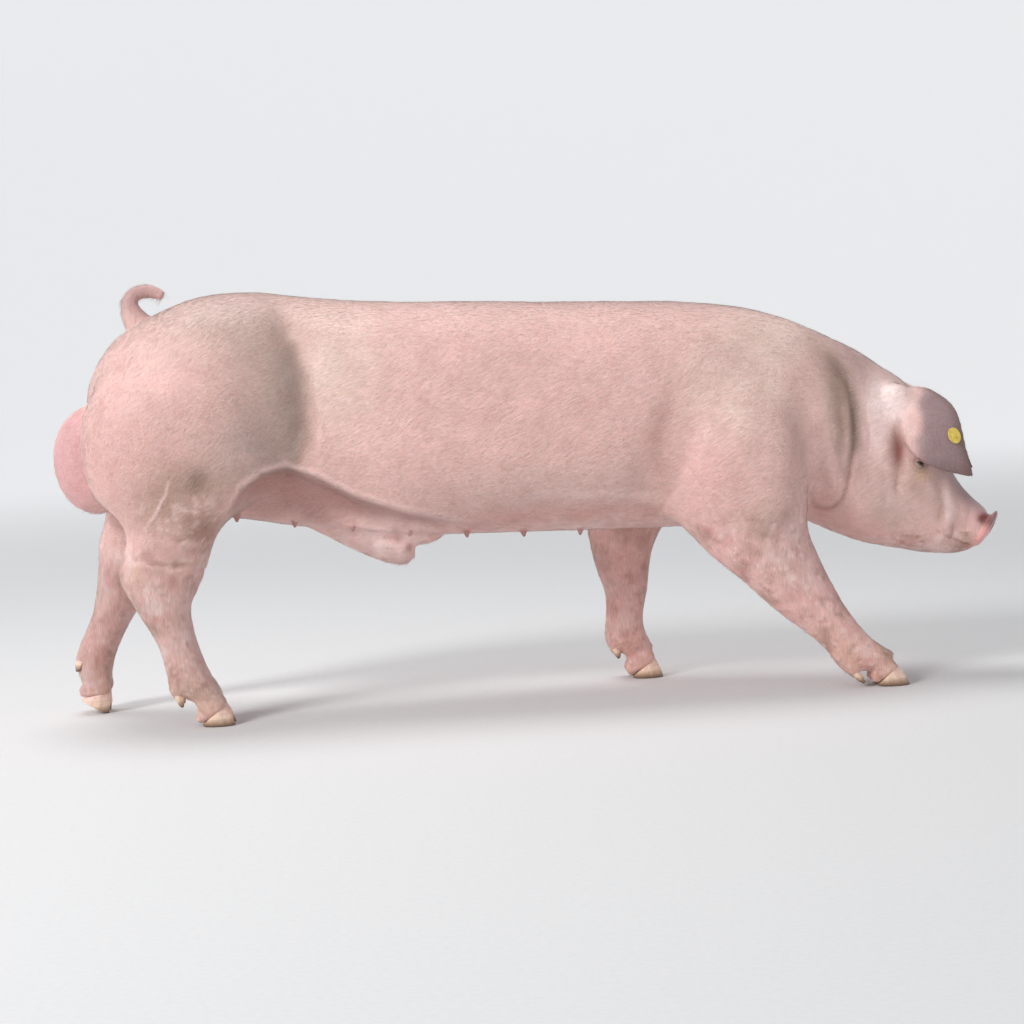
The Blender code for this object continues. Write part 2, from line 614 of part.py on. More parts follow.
def shape_forms(thing):
    """Raise the muscles and press the hollows of both sides, then cut the flank fold back."""
    points, outward = points_of(thing), outward_of(thing)
    mirrored = points * (1.0, -1.0, 1.0)
    move = np.zeros(len(points))
    for centre, half_lengths, amount in FORMS:
        for place in (points, mirrored):
            away = np.linalg.norm((place - np.array(centre)) / np.array(half_lengths), axis=1)
            move += amount * np.exp(-(away**2))
    points = points + outward * move[:, None]

    x, y, z = points.T
    fold = np.array(FLANK_FOLD)
    below = np.interp(x, fold[:, 0], fold[:, 1]) - z
    depth = smoothstep(0.0, 0.030, below) * (1.0 - 0.75 * smoothstep(0.05, 0.15, below))
    depth *= smoothstep(-0.640, -0.590, x) * (1.0 - smoothstep(-0.32, -0.02, x))
    depth *= smoothstep(0.060, 0.110, np.abs(y))
    points[:, 1] -= np.sign(y) * FOLD_DEPTH * depth
    set_points(thing, points)


def add_masses():
    """Trunk, head and limbs as one body, with the joints between them softened."""
    bm = bmesh.new()
    add_trunk(bm)
    add_head(bm)
    for name, stations in LIMBS.items():
        add_limb(bm, stations, foot_side(name))
    masses = fuse(bm, "masses", MASS_VOXEL)
    points = points_of(masses)
    high = smoothstep(0.30, 0.46, points[:, 2])
    head = smoothstep(0.86, 0.95, points[:, 0])
    soften(masses, 0.5 * high * (1.0 - 0.85 * head) + 0.02, 34)
    shape_forms(masses)
    soften(masses, 0.3, 2)
    return masses


def add_flesh():
    masses = add_masses()
    bm = bmesh.new()
    bm.from_mesh(masses.data)
    add_teats(bm, masses.data)
    bpy.data.objects.remove(masses)
    for side in SIDES.values():
        add_ear(bm, side)
        for centre, half_lengths in EAR_ROOT:
            add_ball(bm, side_row([centre], side)[0], half_lengths)
        add_ball(bm, side_row([TESTIS_CENTRE], side)[0], TESTIS_SIZE)
    disc = Matrix.Rotation(DISC_TILT, 3, "Y")
    add_ball(bm, DISC_CENTRE, (DISC_HALF_DEPTH, DISC_HALF_WIDTH, DISC_HALF_HEIGHT), disc)
    add_tube(bm, TAIL)
    add_tube(bm, SHEATH)
    add_ball(bm, SHEATH_WEB, SHEATH_WEB_SIZE)
    for name in FEET:
        add_toes(bm, name)
    flesh = fuse(bm, "flesh", FINE_VOXEL)
    points = points_of(flesh)
    ears = smoothstep(0.86, 0.92, points[:, 0]) * smoothstep(0.43, 0.47, points[:, 2])
    rear = smoothstep(-0.86, -0.92, points[:, 0]) * smoothstep(0.42, 0.47, points[:, 2])
    soften(flesh, 0.4, 4)
    soften(flesh, 0.5 * np.maximum(ears, rear), 8)
    return flesh


def neck_line(where):
    """At a distance along the straight body: how far ahead and aside the bent one is, and its heading."""
    steps = np.linspace(-1.2, 1.4, 2601)
    heading = HEAD_TURN * smoothstep(BEND_FROM, BEND_TO, steps)
    ahead = np.concatenate([[0.0], np.cumsum(np.cos(heading[1:]) * np.diff(steps))]) + steps[0]
    aside = np.concatenate([[0.0], np.cumsum(-np.sin(heading[1:]) * np.diff(steps))])
    return tuple(np.interp(where, steps, line) for line in (ahead, aside, heading))


def turn_head(points):
    """Bend the neck: what lies past BEND_FROM turns towards the boar's right."""
    ahead, aside, heading = neck_line(points[:, 0])
    bent = points.copy()
    bent[:, 0] = ahead + points[:, 1] * np.sin(heading)
    bent[:, 1] = aside + points[:, 1] * np.cos(heading)
    above = smoothstep(*LEG_TO_THROAT, points[:, 2])[:, None]
    return points + above * (bent - points)


def neck_frame(where):
    """The same bend as one stiff move, right at one distance along the body."""
    ahead, aside, heading = neck_line(where)
    turn = Matrix.Rotation(-heading, 4, "Z")
    return Matrix.Translation((ahead, aside, 0.0)) @ turn @ Matrix.Translation((-where, 0.0, 0.0))


def thin(flesh):
    """Flat facets, region by region, so that the head and the fine forms keep more of theirs."""
    for region, triangles in TRIANGLES.items():
        x, _, z = points_of(flesh).T
        head = (x > 0.88) & (z > 0.25)
        fine = (z < 0.13) | ((x < -0.74) & (z > 0.925))
        chosen = {"head": head, "fine": fine, "body": ~(head | fine)}[region]
        group = flesh.vertex_groups.new(name=region)
        group.add(np.flatnonzero(chosen).tolist(), 1.0, "REPLACE")
        flesh.data.calc_loop_triangles()
        corners = np.empty(3 * len(flesh.data.loop_triangles), np.int32)
        flesh.data.loop_triangles.foreach_get("vertices", corners)
        inside = int(chosen[corners.reshape(-1, 3)].all(axis=1).sum())
        total = len(corners) // 3
        decimate = flesh.modifiers.new("Thin", "DECIMATE")
        decimate.ratio = (total - inside + triangles) / total
        decimate.vertex_group = region
        decimate.use_collapse_triangulate = True
        bake(flesh)
    return flesh


def bend_object(thing):
    set_points(thing, turn_head(points_of(thing)))


def box_cutter(centre, half_lengths, pitch=0.0, along=0.0, grow=0.0):
    """A box as a cutter, turned with the neck as the body is at a distance along it."""
    turn = Matrix.Rotation(math.radians(pitch), 4, "Y")
    size = Matrix.Diagonal((*[2.0 * (half + grow) for half in half_lengths], 1.0))
    place = neck_frame(along) @ Matrix.Translation(centre) @ turn @ size
    bm = bmesh.new()
    bmesh.ops.create_cube(bm, size=1.0, matrix=place)
    cutter = object_from(bm, "cutter")
    cutter.hide_render, cutter.display_type = True, "WIRE"
    return cutter


def cut(thing, cutter, operation):
    boolean = thing.modifiers.new("Cut", "BOOLEAN")
    boolean.operation, boolean.solver, boolean.object = operation, "EXACT", cutter
    bake(thing)
    bpy.data.objects.remove(cutter)


def part_off(whole, name, cutter, grown_cutter):
    """Take the flesh inside a cutter away as a piece of its own, and leave the gap beside it."""
    piece = bpy.data.objects.new(name, whole.data.copy())
    bpy.context.scene.collection.objects.link(piece)
    cut(piece, cutter, "INTERSECT")
    cut(whole, grown_cutter, "DIFFERENCE")
    return piece


def ear_cutter(side, grow=0.0):
    bm = bmesh.new()
    add_ear(bm, side, EAR_SPARE + grow, EAR_CUT, step=5, sides=12)
    cutter = object_from(bm, "cutter")
    bend_object(cutter)
    return cutter


def part_flesh(flesh):
    """Divide the flesh where a person would name its parts; what is left is the trunk."""
    parts = {}
    for name, side in SIDES.items():
        name = f"ear_{name}"
        parts[name] = part_off(flesh, name, ear_cutter(side), ear_cutter(side, GAP))
    for name, box in PARTS.items():
        parts[name] = part_off(flesh, name, box_cutter(*box), box_cutter(*box, grow=GAP))
    flesh.name = "trunk"
    parts["trunk"] = flesh
    return parts


def tag_matrix():
    """Places the tag on the right ear, in the straight body's frame: Z out of the ear."""
    rear, _, front, outward = ear_rows(SIDES["right"])
    along, over = TAG_PLACE
    index = int(along * (len(rear) - 1))
    edge = 2.0 * over - 1.0
    bow = EAR_BOW * math.sin(math.pi * min(1.0, along * 1.1)) * (1.0 - edge**2)
    centre = rear[index] + over * (front[index] - rear[index]) + bow * outward[index]
    width = Vector(front[index] - rear[index])
    out = (Vector(outward[index]) + TAG_TURN * width.normalized()).normalized()
    down = Vector((0.0, 0.0, -1.0))
    down = (down - out * down.dot(out)).normalized()
    turn = Matrix((down.cross(out), down, out)).transposed()
    return Matrix.Translation(centre) @ turn.to_4x4()


def add_disc(bm, place, low, high, half_width, half_height, sides=16):
    """A flat oval plate or a pin between two levels."""
    rings = []
    for level in (low, high):
        ring = []
        for angle in np.linspace(0.0, 2.0 * math.pi, sides, endpoint=False):
            point = Vector((half_width * math.cos(angle), half_height * math.sin(angle), level))
            ring.append(place @ point)
        rings.append(ring)
    skin_rings(bm, rings)


def tag_piece(name, grow=0.0):
    """The outer plate with its pin, or the inner button that the pin goes into."""
    place, away = tag_matrix(), EAR_HALF_THICK + TAG_CLEAR
    bm = bmesh.new()
    if name == "ear_tag_plate":
        low, high = away - grow, away + TAG_THICK + grow
        add_disc(bm, place, low, high, TAG_HALF_WIDTH + grow, TAG_HALF_HEIGHT + grow)
    else:
        add_disc(bm, place, -away - TAG_THICK - grow, -away + grow, TAG_BACK + grow, TAG_BACK + grow)
    return object_from(bm, name)


def pin(grow=0.0):
    bm = bmesh.new()
    reach = EAR_HALF_THICK + TAG_CLEAR + 1.5 * TAG_THICK
    add_disc(bm, tag_matrix(), -reach, reach - TAG_THICK, PIN_RADIUS + grow, PIN_RADIUS + grow, 8)
    return object_from(bm, "cutter")


def add_tag(ear):
    """Two buttons and a pin through the ear, which keeps a hollow for them."""
    plate, button = tag_piece("ear_tag_plate"), tag_piece("ear_tag_button")
    cut(plate, pin(), "UNION")
    cut(button, pin(GAP), "DIFFERENCE")
    for cutter in (tag_piece("ear_tag_plate", GAP), tag_piece("ear_tag_button", GAP), pin(2 * GAP)):
        bend_object(cutter)
        cut(ear, cutter, "DIFFERENCE")
    for piece in (plate, button):
        bend_object(piece)
    return [plate, button]


def add_nostrils(snout):
    """Two oval pits that narrow inwards from the disc's face."""
    disc = Matrix.Translation(DISC_CENTRE) @ Matrix.Rotation(DISC_TILT, 4, "Y")
    for side in SIDES.values():
        rings = []
        for depth, share in ((-0.6, 1.25), (0.15, 0.95), (1.0, 0.55)):
            ring = []
            for angle in np.linspace(0.0, 2.0 * math.pi, 10, endpoint=False):
                across = side * NOSTRIL_OUT + share * NOSTRIL_WIDTH * math.cos(angle)
                up = NOSTRIL_UP + share * NOSTRIL_HEIGHT * math.sin(angle)
                ring.append(disc @ Vector((DISC_HALF_DEPTH - depth * NOSTRIL_DEPTH, across, up)))
            rings.append(ring)
        bm = bmesh.new()
        skin_rings(bm, rings)
        cutter = object_from(bm, "cutter")
        bend_object(cutter)
        cut(snout, cutter, "DIFFERENCE")


def add_horn(flesh):
    """Eight claws and eight dewclaws, each in a hollow of the flesh that it grows from."""
    pieces = []
    for name in FEET:
        for inner, side in ((-1.0, "a"), (1.0, "b")):
            for kind, maker in (("claw", add_claw), ("dewclaw", add_dewclaw)):
                for label, grow in (("cutter", GAP), (f"{kind}_{name}_{side}", 0.0)):
                    bm = bmesh.new()
                    maker(bm, name, inner, grow)
                    thing = object_from(bm, label)
                    if grow:
                        cut(flesh, thing, "DIFFERENCE")
                cut(thing, box_cutter(*UNDER_FLOOR), "DIFFERENCE")
                pieces.append(thing)
    return pieces


def eye_centres(flesh):
    """Where each eye sits: a little way in from the skin at its place on the straight head."""
    mesh = flesh.data
    tree = BVHTree.FromPolygons([v.co for v in mesh.vertices], [p.vertices for p in mesh.polygons])
    centres = {}
    for name, side in SIDES.items():
        start = Vector((EYE_PLACE[0], 0.0, EYE_PLACE[1]))
        skin, outward, _, _ = tree.ray_cast(start, Vector((0.0, side, 0.0)))
        centres[name] = skin - outward * EYE_DEPTH
    return centres


def add_eyes(head, centres):
    pieces = []
    for name, centre in centres.items():
        for grow, label in ((GAP, "cutter"), (0.0, f"eye_{name}")):
            bm = bmesh.new()
            add_ball(bm, centre, [EYE_RADIUS + grow] * 3, detail=2)
            ball = object_from(bm, label)
            bend_object(ball)
            if grow:
                cut(head, ball, "DIFFERENCE")
        pieces.append(ball)
    return pieces


def make_material(name):
    colour, roughness = MATERIALS[name]
    material = bpy.data.materials.new(name)
    material.use_nodes = True
    shader = material.node_tree.nodes["Principled BSDF"]
    shader.inputs["Base Color"].default_value = colour
    shader.inputs["Roughness"].default_value = roughness
    shader.inputs["Metallic"].default_value = 0.0
    return material


def paint(pieces, material, smooth_angle=math.radians(35.0)):
    for piece in pieces:
        piece.data.materials.clear()
        piece.data.materials.append(material)
        piece.data.shade_smooth()
        piece.data.set_sharp_from_angle(angle=smooth_angle)


def centre_on_floor(pieces):
    """Put the origin on the floor under the middle of the whole boar."""
    points = np.concatenate([points_of(piece) for piece in pieces])
    middle = 0.5 * (points.min(axis=0) + points.max(axis=0))
    for piece in pieces:
        set_points(piece, points_of(piece) - (middle[0], middle[1], points[:, 2].min()))


def clear_scene():
    for thing in list(bpy.data.objects):
        bpy.data.objects.remove(thing, do_unlink=True)


def main():
    clear_scene()
    flesh = thin(add_flesh())
    centres = eye_centres(flesh)
    bend_object(flesh)
    horn = add_horn(flesh)
    parts = part_flesh(flesh)
    eyes = add_eyes(parts["head"], centres)
    add_nostrils(parts["snout"])
    tag = add_tag(parts["ear_right"])
    body = list(parts.values())
    for pieces, slot in ((body, "skin"), (horn, "horn"), (eyes, "eye"), (tag, "tag")):
        paint(pieces, make_material(slot))
    centre_on_floor(body + horn + eyes + tag)


if __name__ == "__main__":
    main()
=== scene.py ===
"""The looks of a white lop-eared boar: skin, bristles, eyes, claws and ear tag round its solids.

Metres, +Z up, the snout towards +X, the boar's right side towards -Y. The skin is made the
way the solids are, by lofts of oval sections fused with a voxel remesh, but much finer. It is
shaped and painted on a straight body; place() bends the neck and moves it to the frame.
"""

import math

import bmesh
import bpy
import numpy as np
from mathutils import Matrix, Vector
from mathutils.bvhtree import BVHTree


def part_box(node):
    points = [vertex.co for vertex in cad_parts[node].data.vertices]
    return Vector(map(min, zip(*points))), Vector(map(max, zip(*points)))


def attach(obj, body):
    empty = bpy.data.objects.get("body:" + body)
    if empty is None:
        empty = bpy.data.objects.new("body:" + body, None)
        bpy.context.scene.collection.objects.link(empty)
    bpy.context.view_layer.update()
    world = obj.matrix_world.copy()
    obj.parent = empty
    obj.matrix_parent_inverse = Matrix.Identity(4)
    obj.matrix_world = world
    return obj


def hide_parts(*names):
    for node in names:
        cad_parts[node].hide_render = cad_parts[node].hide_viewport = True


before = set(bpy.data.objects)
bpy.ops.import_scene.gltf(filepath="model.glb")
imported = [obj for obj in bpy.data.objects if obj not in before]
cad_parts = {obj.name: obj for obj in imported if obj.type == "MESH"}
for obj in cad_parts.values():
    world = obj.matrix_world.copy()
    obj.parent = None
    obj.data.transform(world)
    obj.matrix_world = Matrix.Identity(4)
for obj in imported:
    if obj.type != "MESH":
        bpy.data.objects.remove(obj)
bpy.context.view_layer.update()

# ---- driving dimensions of the shape ------------------------------------------------------
FINE_VOXEL = 0.0034  # cell of the remesh that makes the skin

SIDES = {"right": -1.0, "left": 1.0}
MASS_VOXEL = 0.0085  # cell of the remesh that fuses the large masses
RING = 40  # points round one section of a loft
LIMB_SPARE = 0.0055  # what softening takes off a limb, all round
BEND_FROM, BEND_TO = 0.66, 0.92  # where along the body the neck bends
HEAD_TURN = math.radians(18.0)  # towards the boar's right
LEG_TO_THROAT = (0.235, 0.275)  # the bend fades out over these heights, above the forelegs
# Trunk and neck: x, top, bottom, half width, level of the greatest width as a share
TRUNK = [
    (-0.944, 0.748, 0.640, 0.034, 0.50),
    (-0.918, 0.806, 0.575, 0.090, 0.52),
    (-0.870, 0.868, 0.510, 0.146, 0.56),
    (-0.790, 0.912, 0.465, 0.182, 0.60),
    (-0.700, 0.945, 0.452, 0.196, 0.62),
    (-0.610, 0.957, 0.441, 0.200, 0.62),
    (-0.500, 0.948, 0.419, 0.193, 0.60),
    (-0.380, 0.929, 0.402, 0.194, 0.56),
    (-0.240, 0.918, 0.384, 0.204, 0.52),
    (-0.080, 0.911, 0.378, 0.215, 0.48),
    (0.080, 0.901, 0.374, 0.221, 0.47),
    (0.220, 0.894, 0.370, 0.222, 0.47),
    (0.350, 0.889, 0.367, 0.214, 0.49),
    (0.454, 0.879, 0.368, 0.202, 0.52),
    (0.568, 0.860, 0.381, 0.184, 0.52),
    (0.640, 0.837, 0.375, 0.172, 0.50),
    (0.710, 0.805, 0.346, 0.161, 0.46),
    (0.771, 0.774, 0.319, 0.150, 0.42),
    (0.830, 0.739, 0.301, 0.136, 0.38),
    (0.880, 0.695, 0.298, 0.112, 0.36),
    (0.905, 0.635, 0.328, 0.070, 0.40),
]
# Head: bottom x and z, top x and z, half width, level of the greatest width as a share
HEAD = [
    (0.770, 0.350, 0.850, 0.700, 0.110, 0.40),
    (0.800, 0.322, 0.868, 0.708, 0.126, 0.38),
    (0.845, 0.299, 0.902, 0.686, 0.126, 0.36),
    (0.893, 0.289, 0.934, 0.652, 0.118, 0.38),
    (0.932, 0.281, 0.961, 0.606, 0.109, 0.44),
    (0.962, 0.277, 0.983, 0.551, 0.098, 0.50),
    (0.990, 0.275, 1.003, 0.496, 0.083, 0.48),
    (1.015, 0.275, 1.024, 0.449, 0.067, 0.50),
    (1.034, 0.278, 1.044, 0.420, 0.056, 0.52),
    (1.048, 0.283, 1.064, 0.397, 0.049, 0.52),
    (1.057, 0.289, 1.084, 0.380, 0.047, 0.52),
    (1.062, 0.294, 1.094, 0.370, 0.043, 0.52),
]
DISC_CENTRE, DISC_TILT = (1.086, 0.000, 0.331), math.radians(33.0)
DISC_HALF_WIDTH, DISC_HALF_HEIGHT, DISC_HALF_DEPTH = 0.052, 0.048, 0.011
NOSTRIL_OUT, NOSTRIL_UP = 0.020, 0.004  # on the disc, from its middle
NOSTRIL_WIDTH, NOSTRIL_HEIGHT = 0.0085, 0.0115  # half lengths
NOSTRIL_DEPTH, NOSTRIL_RIM = 0.016, 0.0012
EYE_RADIUS = 0.0125
# Limbs: rear x and z, front x and z, y of the middle, half width
HIND_RIGHT = [
    (-0.850, 0.800, -0.600, 0.840, 0.090, 0.060),
    (-0.918, 0.745, -0.530, 0.760, 0.110, 0.104),
    (-0.950, 0.670, -0.500, 0.670, 0.124, 0.112),
    (-0.948, 0.590, -0.520, 0.560, 0.132, 0.104),
    (-0.928, 0.516, -0.580, 0.490, 0.135, 0.092),
    (-0.876, 0.466, -0.642, 0.452, 0.137, 0.079),
    (-0.858, 0.425, -0.670, 0.412, 0.138, 0.065),
    (-0.876, 0.380, -0.682, 0.376, 0.138, 0.053),
    (-0.883, 0.344, -0.697, 0.342, 0.138, 0.046),
    (-0.871, 0.308, -0.716, 0.303, 0.138, 0.043),
    (-0.850, 0.268, -0.733, 0.268, 0.137, 0.040),
    (-0.825, 0.223, -0.731, 0.222, 0.136, 0.037),
    (-0.806, 0.184, -0.722, 0.180, 0.135, 0.036),
    (-0.796, 0.145, -0.711, 0.145, 0.134, 0.037),
    (-0.786, 0.105, -0.699, 0.112, 0.133, 0.040),
    (-0.762, 0.072, -0.682, 0.082, 0.132, 0.041),
    (-0.742, 0.054, -0.672, 0.062, 0.132, 0.036),
]
HIND_LEFT = [
    (-0.850, 0.800, -0.600, 0.840, 0.090, 0.060),
    (-0.922, 0.745, -0.545, 0.760, 0.110, 0.104),
    (-0.952, 0.670, -0.535, 0.670, 0.124, 0.112),
    (-0.952, 0.585, -0.570, 0.560, 0.132, 0.104),
    (-0.940, 0.520, -0.640, 0.465, 0.139, 0.092),
    (-0.926, 0.475, -0.710, 0.400, 0.145, 0.078),
    (-0.936, 0.436, -0.772, 0.352, 0.149, 0.064),
    (-0.950, 0.400, -0.812, 0.316, 0.152, 0.052),
    (-0.953, 0.352, -0.842, 0.284, 0.155, 0.045),
    (-0.960, 0.290, -0.868, 0.246, 0.157, 0.041),
    (-0.972, 0.236, -0.889, 0.214, 0.158, 0.038),
    (-0.990, 0.194, -0.911, 0.176, 0.159, 0.036),
    (-1.008, 0.158, -0.930, 0.138, 0.159, 0.037),
    (-1.016, 0.118, -0.942, 0.104, 0.159, 0.040),
    (-1.013, 0.085, -0.946, 0.074, 0.159, 0.040),
    (-1.006, 0.066, -0.948, 0.056, 0.159, 0.035),
]
FORE_RIGHT = [
    (0.400, 0.690, 0.580, 0.730, 0.130, 0.050),
    (0.350, 0.610, 0.625, 0.640, 0.135, 0.082),
    (0.335, 0.520, 0.650, 0.560, 0.140, 0.088),
    (0.338, 0.450, 0.660, 0.480, 0.143, 0.086),
    (0.356, 0.398, 0.660, 0.420, 0.146, 0.080),
    (0.392, 0.356, 0.650, 0.366, 0.149, 0.072),
    (0.440, 0.305, 0.661, 0.320, 0.152, 0.062),
    (0.494, 0.258, 0.677, 0.279, 0.155, 0.053),
    (0.546, 0.206, 0.698, 0.232, 0.157, 0.046),
    (0.596, 0.160, 0.724, 0.181, 0.159, 0.041),
    (0.640, 0.126, 0.752, 0.140, 0.160, 0.038),
    (0.674, 0.096, 0.778, 0.107, 0.161, 0.038),
    (0.700, 0.064, 0.802, 0.087, 0.162, 0.041),
    (0.734, 0.044, 0.823, 0.074, 0.162, 0.041),
    (0.764, 0.032, 0.835, 0.062, 0.162, 0.036),
]
FORE_LEFT = [
    (0.330, 0.690, 0.520, 0.730, 0.130, 0.050),
    (0.270, 0.610, 0.550, 0.640, 0.135, 0.082),
    (0.225, 0.520, 0.545, 0.560, 0.140, 0.088),
    (0.196, 0.450, 0.500, 0.480, 0.146, 0.084),
    (0.186, 0.398, 0.430, 0.410, 0.151, 0.076),
    (0.190, 0.350, 0.358, 0.352, 0.156, 0.066),
    (0.198, 0.304, 0.335, 0.306, 0.160, 0.056),
    (0.209, 0.256, 0.325, 0.260, 0.164, 0.047),
    (0.224, 0.208, 0.318, 0.206, 0.168, 0.040),
    (0.226, 0.160, 0.307, 0.155, 0.171, 0.037),
    (0.221, 0.112, 0.308, 0.114, 0.174, 0.040),
    (0.236, 0.078, 0.321, 0.082, 0.177, 0.041),
    (0.256, 0.056, 0.334, 0.060, 0.179, 0.036),
]
LIMBS = {
    "hind_right": HIND_RIGHT,
    "hind_left": HIND_LEFT,
    "fore_right": FORE_RIGHT,
    "fore_left": FORE_LEFT,
}
# Feet: toe tip x, y of the middle, pitch of the toes down, lean back of the claws and of
# the pastern over them, and the dewclaws' base and tip as x and z
FEET = {
    "hind_right": (-0.645, 0.132, 0.0, 0.021, 0.42, (-0.776, 0.096), (-0.761, 0.047)),
    "hind_left": (-0.949, 0.159, 30.0, 0.024, 0.15, (-1.001, 0.146), (-1.018, 0.101)),
    "fore_right": (0.863, 0.162, 0.0, 0.028, 0.92, (0.716, 0.058), (0.757, 0.010)),
    "fore_left": (0.352, 0.181, 0.0, 0.020, 0.30, (0.234, 0.096), (0.246, 0.050)),
}
TIPTOE_SINK = 0.0045  # what the raised foot's toe tips lose to their flat on the floor
CLAW_LENGTH, CLAW_HALF_WIDTH, CLAW_HEIGHT = 0.076, 0.0205, 0.046
CLAW_APART = 0.0275  # from the middle of the foot to the middle of one claw
CLAW_SPLAY = math.radians(3.5)
DEWCLAW_APART = 0.027
# One toe above its claw: rear and front from the toe tip, height of each, half width
TOE = [
    (-0.071, 0.012, -0.004, 0.036, 0.0180),
    (-0.077, 0.020, 0.002, 0.046, 0.0215),
    (-0.080, 0.036, 0.001, 0.060, 0.0222),
    (-0.082, 0.058, -0.008, 0.078, 0.0225),
    (-0.086, 0.084, -0.020, 0.100, 0.0200),
]
# Ear: the rear edge and the front edge from root to tip, as x, y and z
EAR_REAR = [
    (0.900, 0.058, 0.628),
    (0.902, 0.090, 0.592),
    (0.915, 0.112, 0.545),
    (0.942, 0.126, 0.506),
    (0.980, 0.132, 0.480),
    (1.017, 0.130, 0.467),
    (1.056, 0.124, 0.458),
]
EAR_FRONT = [
    (0.932, 0.036, 0.664),
    (0.966, 0.048, 0.655),
    (0.995, 0.062, 0.637),
    (1.017, 0.080, 0.610),
    (1.033, 0.096, 0.566),
    (1.047, 0.109, 0.515),
    (1.064, 0.120, 0.460),
]
# How far each ear's front edge is set forward, root to tip: the right ear's is the wider one
EAR_AHEAD = {
    -1.0: (0.000, 0.012, 0.018, 0.020, 0.017, 0.011, 0.008),
    1.0: (0.000, 0.000, 0.000, 0.000, -0.003, -0.006, -0.008),
}
EAR_HALF_THICK, EAR_BOW = 0.0046, 0.017
# The thick root of the ear and the rolled lobe behind it: centre and half lengths
EAR_ROOT = [
    ((0.900, 0.066, 0.636), (0.040, 0.030, 0.040)),
    ((0.898, 0.090, 0.580), (0.020, 0.017, 0.036)),
]
# Tail: x, y, z, radius
TAIL = [
    (-0.796, 0.000, 0.864, 0.040),
    (-0.814, 0.000, 0.892, 0.034),
    (-0.829, 0.002, 0.917, 0.0270),
    (-0.834, 0.006, 0.939, 0.0210),
    (-0.824, 0.010, 0.959, 0.0170),
    (-0.802, 0.010, 0.967, 0.0165),
    (-0.776, 0.006, 0.963, 0.0150),
    (-0.757, 0.000, 0.953, 0.0120),
]
# Scrotum: one oval for each testis, as centre and half lengths
TESTIS_CENTRE, TESTIS_SIZE = (-0.930, 0.037, 0.598), (0.093, 0.064, 0.124)
# Sheath: x, y, z, radius
SHEATH = [
    (-0.480, 0.0, 0.455, 0.028),
    (-0.420, 0.0, 0.428, 0.034),
    (-0.360, 0.0, 0.399, 0.039),
    (-0.310, 0.0, 0.376, 0.042),
    (-0.268, 0.0, 0.360, 0.042),
    (-0.240, 0.0, 0.356, 0.038),
    (-0.224, 0.0, 0.356, 0.020),
]
SHEATH_WEB, SHEATH_WEB_SIZE = (-0.230, 0.0, 0.387), (0.076, 0.038, 0.029)
TEAT_FIRST = {"right": -0.621, "left": -0.554}  # the two rows are staggered
TEAT_STEP, TEAT_PAIRS = 0.128, 7
TEAT_OUT, TEAT_RADIUS, TEAT_LENGTH = 0.070, 0.0065, 0.015
# Flank fold: the edge of skin from the stifle over the groin and down to the belly, as x and z
FLANK_FOLD = [
    (-0.640, 0.470),
    (-0.606, 0.525),
    (-0.560, 0.558),
    (-0.505, 0.568),
    (-0.430, 0.537),
    (-0.350, 0.490),
    (-0.250, 0.452),
    (-0.150, 0.428),
    (0.000, 0.403),
]
FOLD_DEPTH = 0.030
# Muscles and hollows of each side: centre, half lengths, how far the surface moves out
FORMS = [
    ((-0.465, 0.19, 0.70), (0.034, 0.14, 0.19), -0.012),
    ((-0.490, 0.15, 0.88), (0.045, 0.12, 0.06), -0.006),
    ((-0.720, 0.23, 0.66), (0.140, 0.14, 0.16), 0.010),
    ((-0.655, 0.22, 0.50), (0.050, 0.10, 0.05), 0.009),
    ((0.430, 0.21, 0.68), (0.110, 0.12, 0.15), 0.007),
    ((0.600, 0.20, 0.53), (0.055, 0.10, 0.09), 0.011),
    ((0.290, 0.22, 0.50), (0.040, 0.10, 0.12), -0.011),
    ((0.680, 0.15, 0.44), (0.028, 0.10, 0.07), -0.014),
    ((0.762, 0.15, 0.56), (0.020, 0.12, 0.14), -0.009),
    ((0.840, 0.13, 0.40), (0.060, 0.06, 0.08), 0.008),
    ((1.008, 0.06, 0.352), (0.020, 0.03, 0.022), 0.006),
    ((0.990, 0.08, 0.448), (0.020, 0.03, 0.026), -0.006),
    ((0.953, 0.11, 0.493), (0.024, 0.04, 0.019), 0.007),
]
TAG_PLACE = (0.63, 0.74)  # on the ear: share of its length, and of its width from the rear
TAG_TURN = 0.40  # how far the tag follows the ear's bow
TAG_HALF_WIDTH, TAG_HALF_HEIGHT, TAG_THICK = 0.0145, 0.0200, 0.0026
TAG_BACK, TAG_CLEAR = 0.0120, 0.0010  # radius of the button, and the gap to the ear


def smoothstep(low, high, value):
    share = np.clip((value - low) / (high - low), 0.0, 1.0)
    return share * share * (3.0 - 2.0 * share)


def flow(points, step):
    """A smooth curve through rows of numbers, with a row about every step metres."""
    rows = np.array(points, float)
    lengths = np.linalg.norm(np.diff(rows[:, :3], axis=0), axis=1)
    along = np.concatenate([[0.0], np.cumsum(lengths)])
    slopes = np.gradient(rows, along, axis=0)
    where = np.linspace(0.0, along[-1], max(3, int(along[-1] / step) + 1))
    span = np.clip(np.searchsorted(along, where, side="right") - 1, 0, len(rows) - 2)
    width = (along[span + 1] - along[span])[:, None]
    part = (where - along[span])[:, None] / width
    return (
        (2 * part**3 - 3 * part**2 + 1) * rows[span]
        + (part**3 - 2 * part**2 + part) * width * slopes[span]
        + (3 * part**2 - 2 * part**3) * rows[span + 1]
        + (part**3 - part**2) * width * slopes[span + 1]
    )


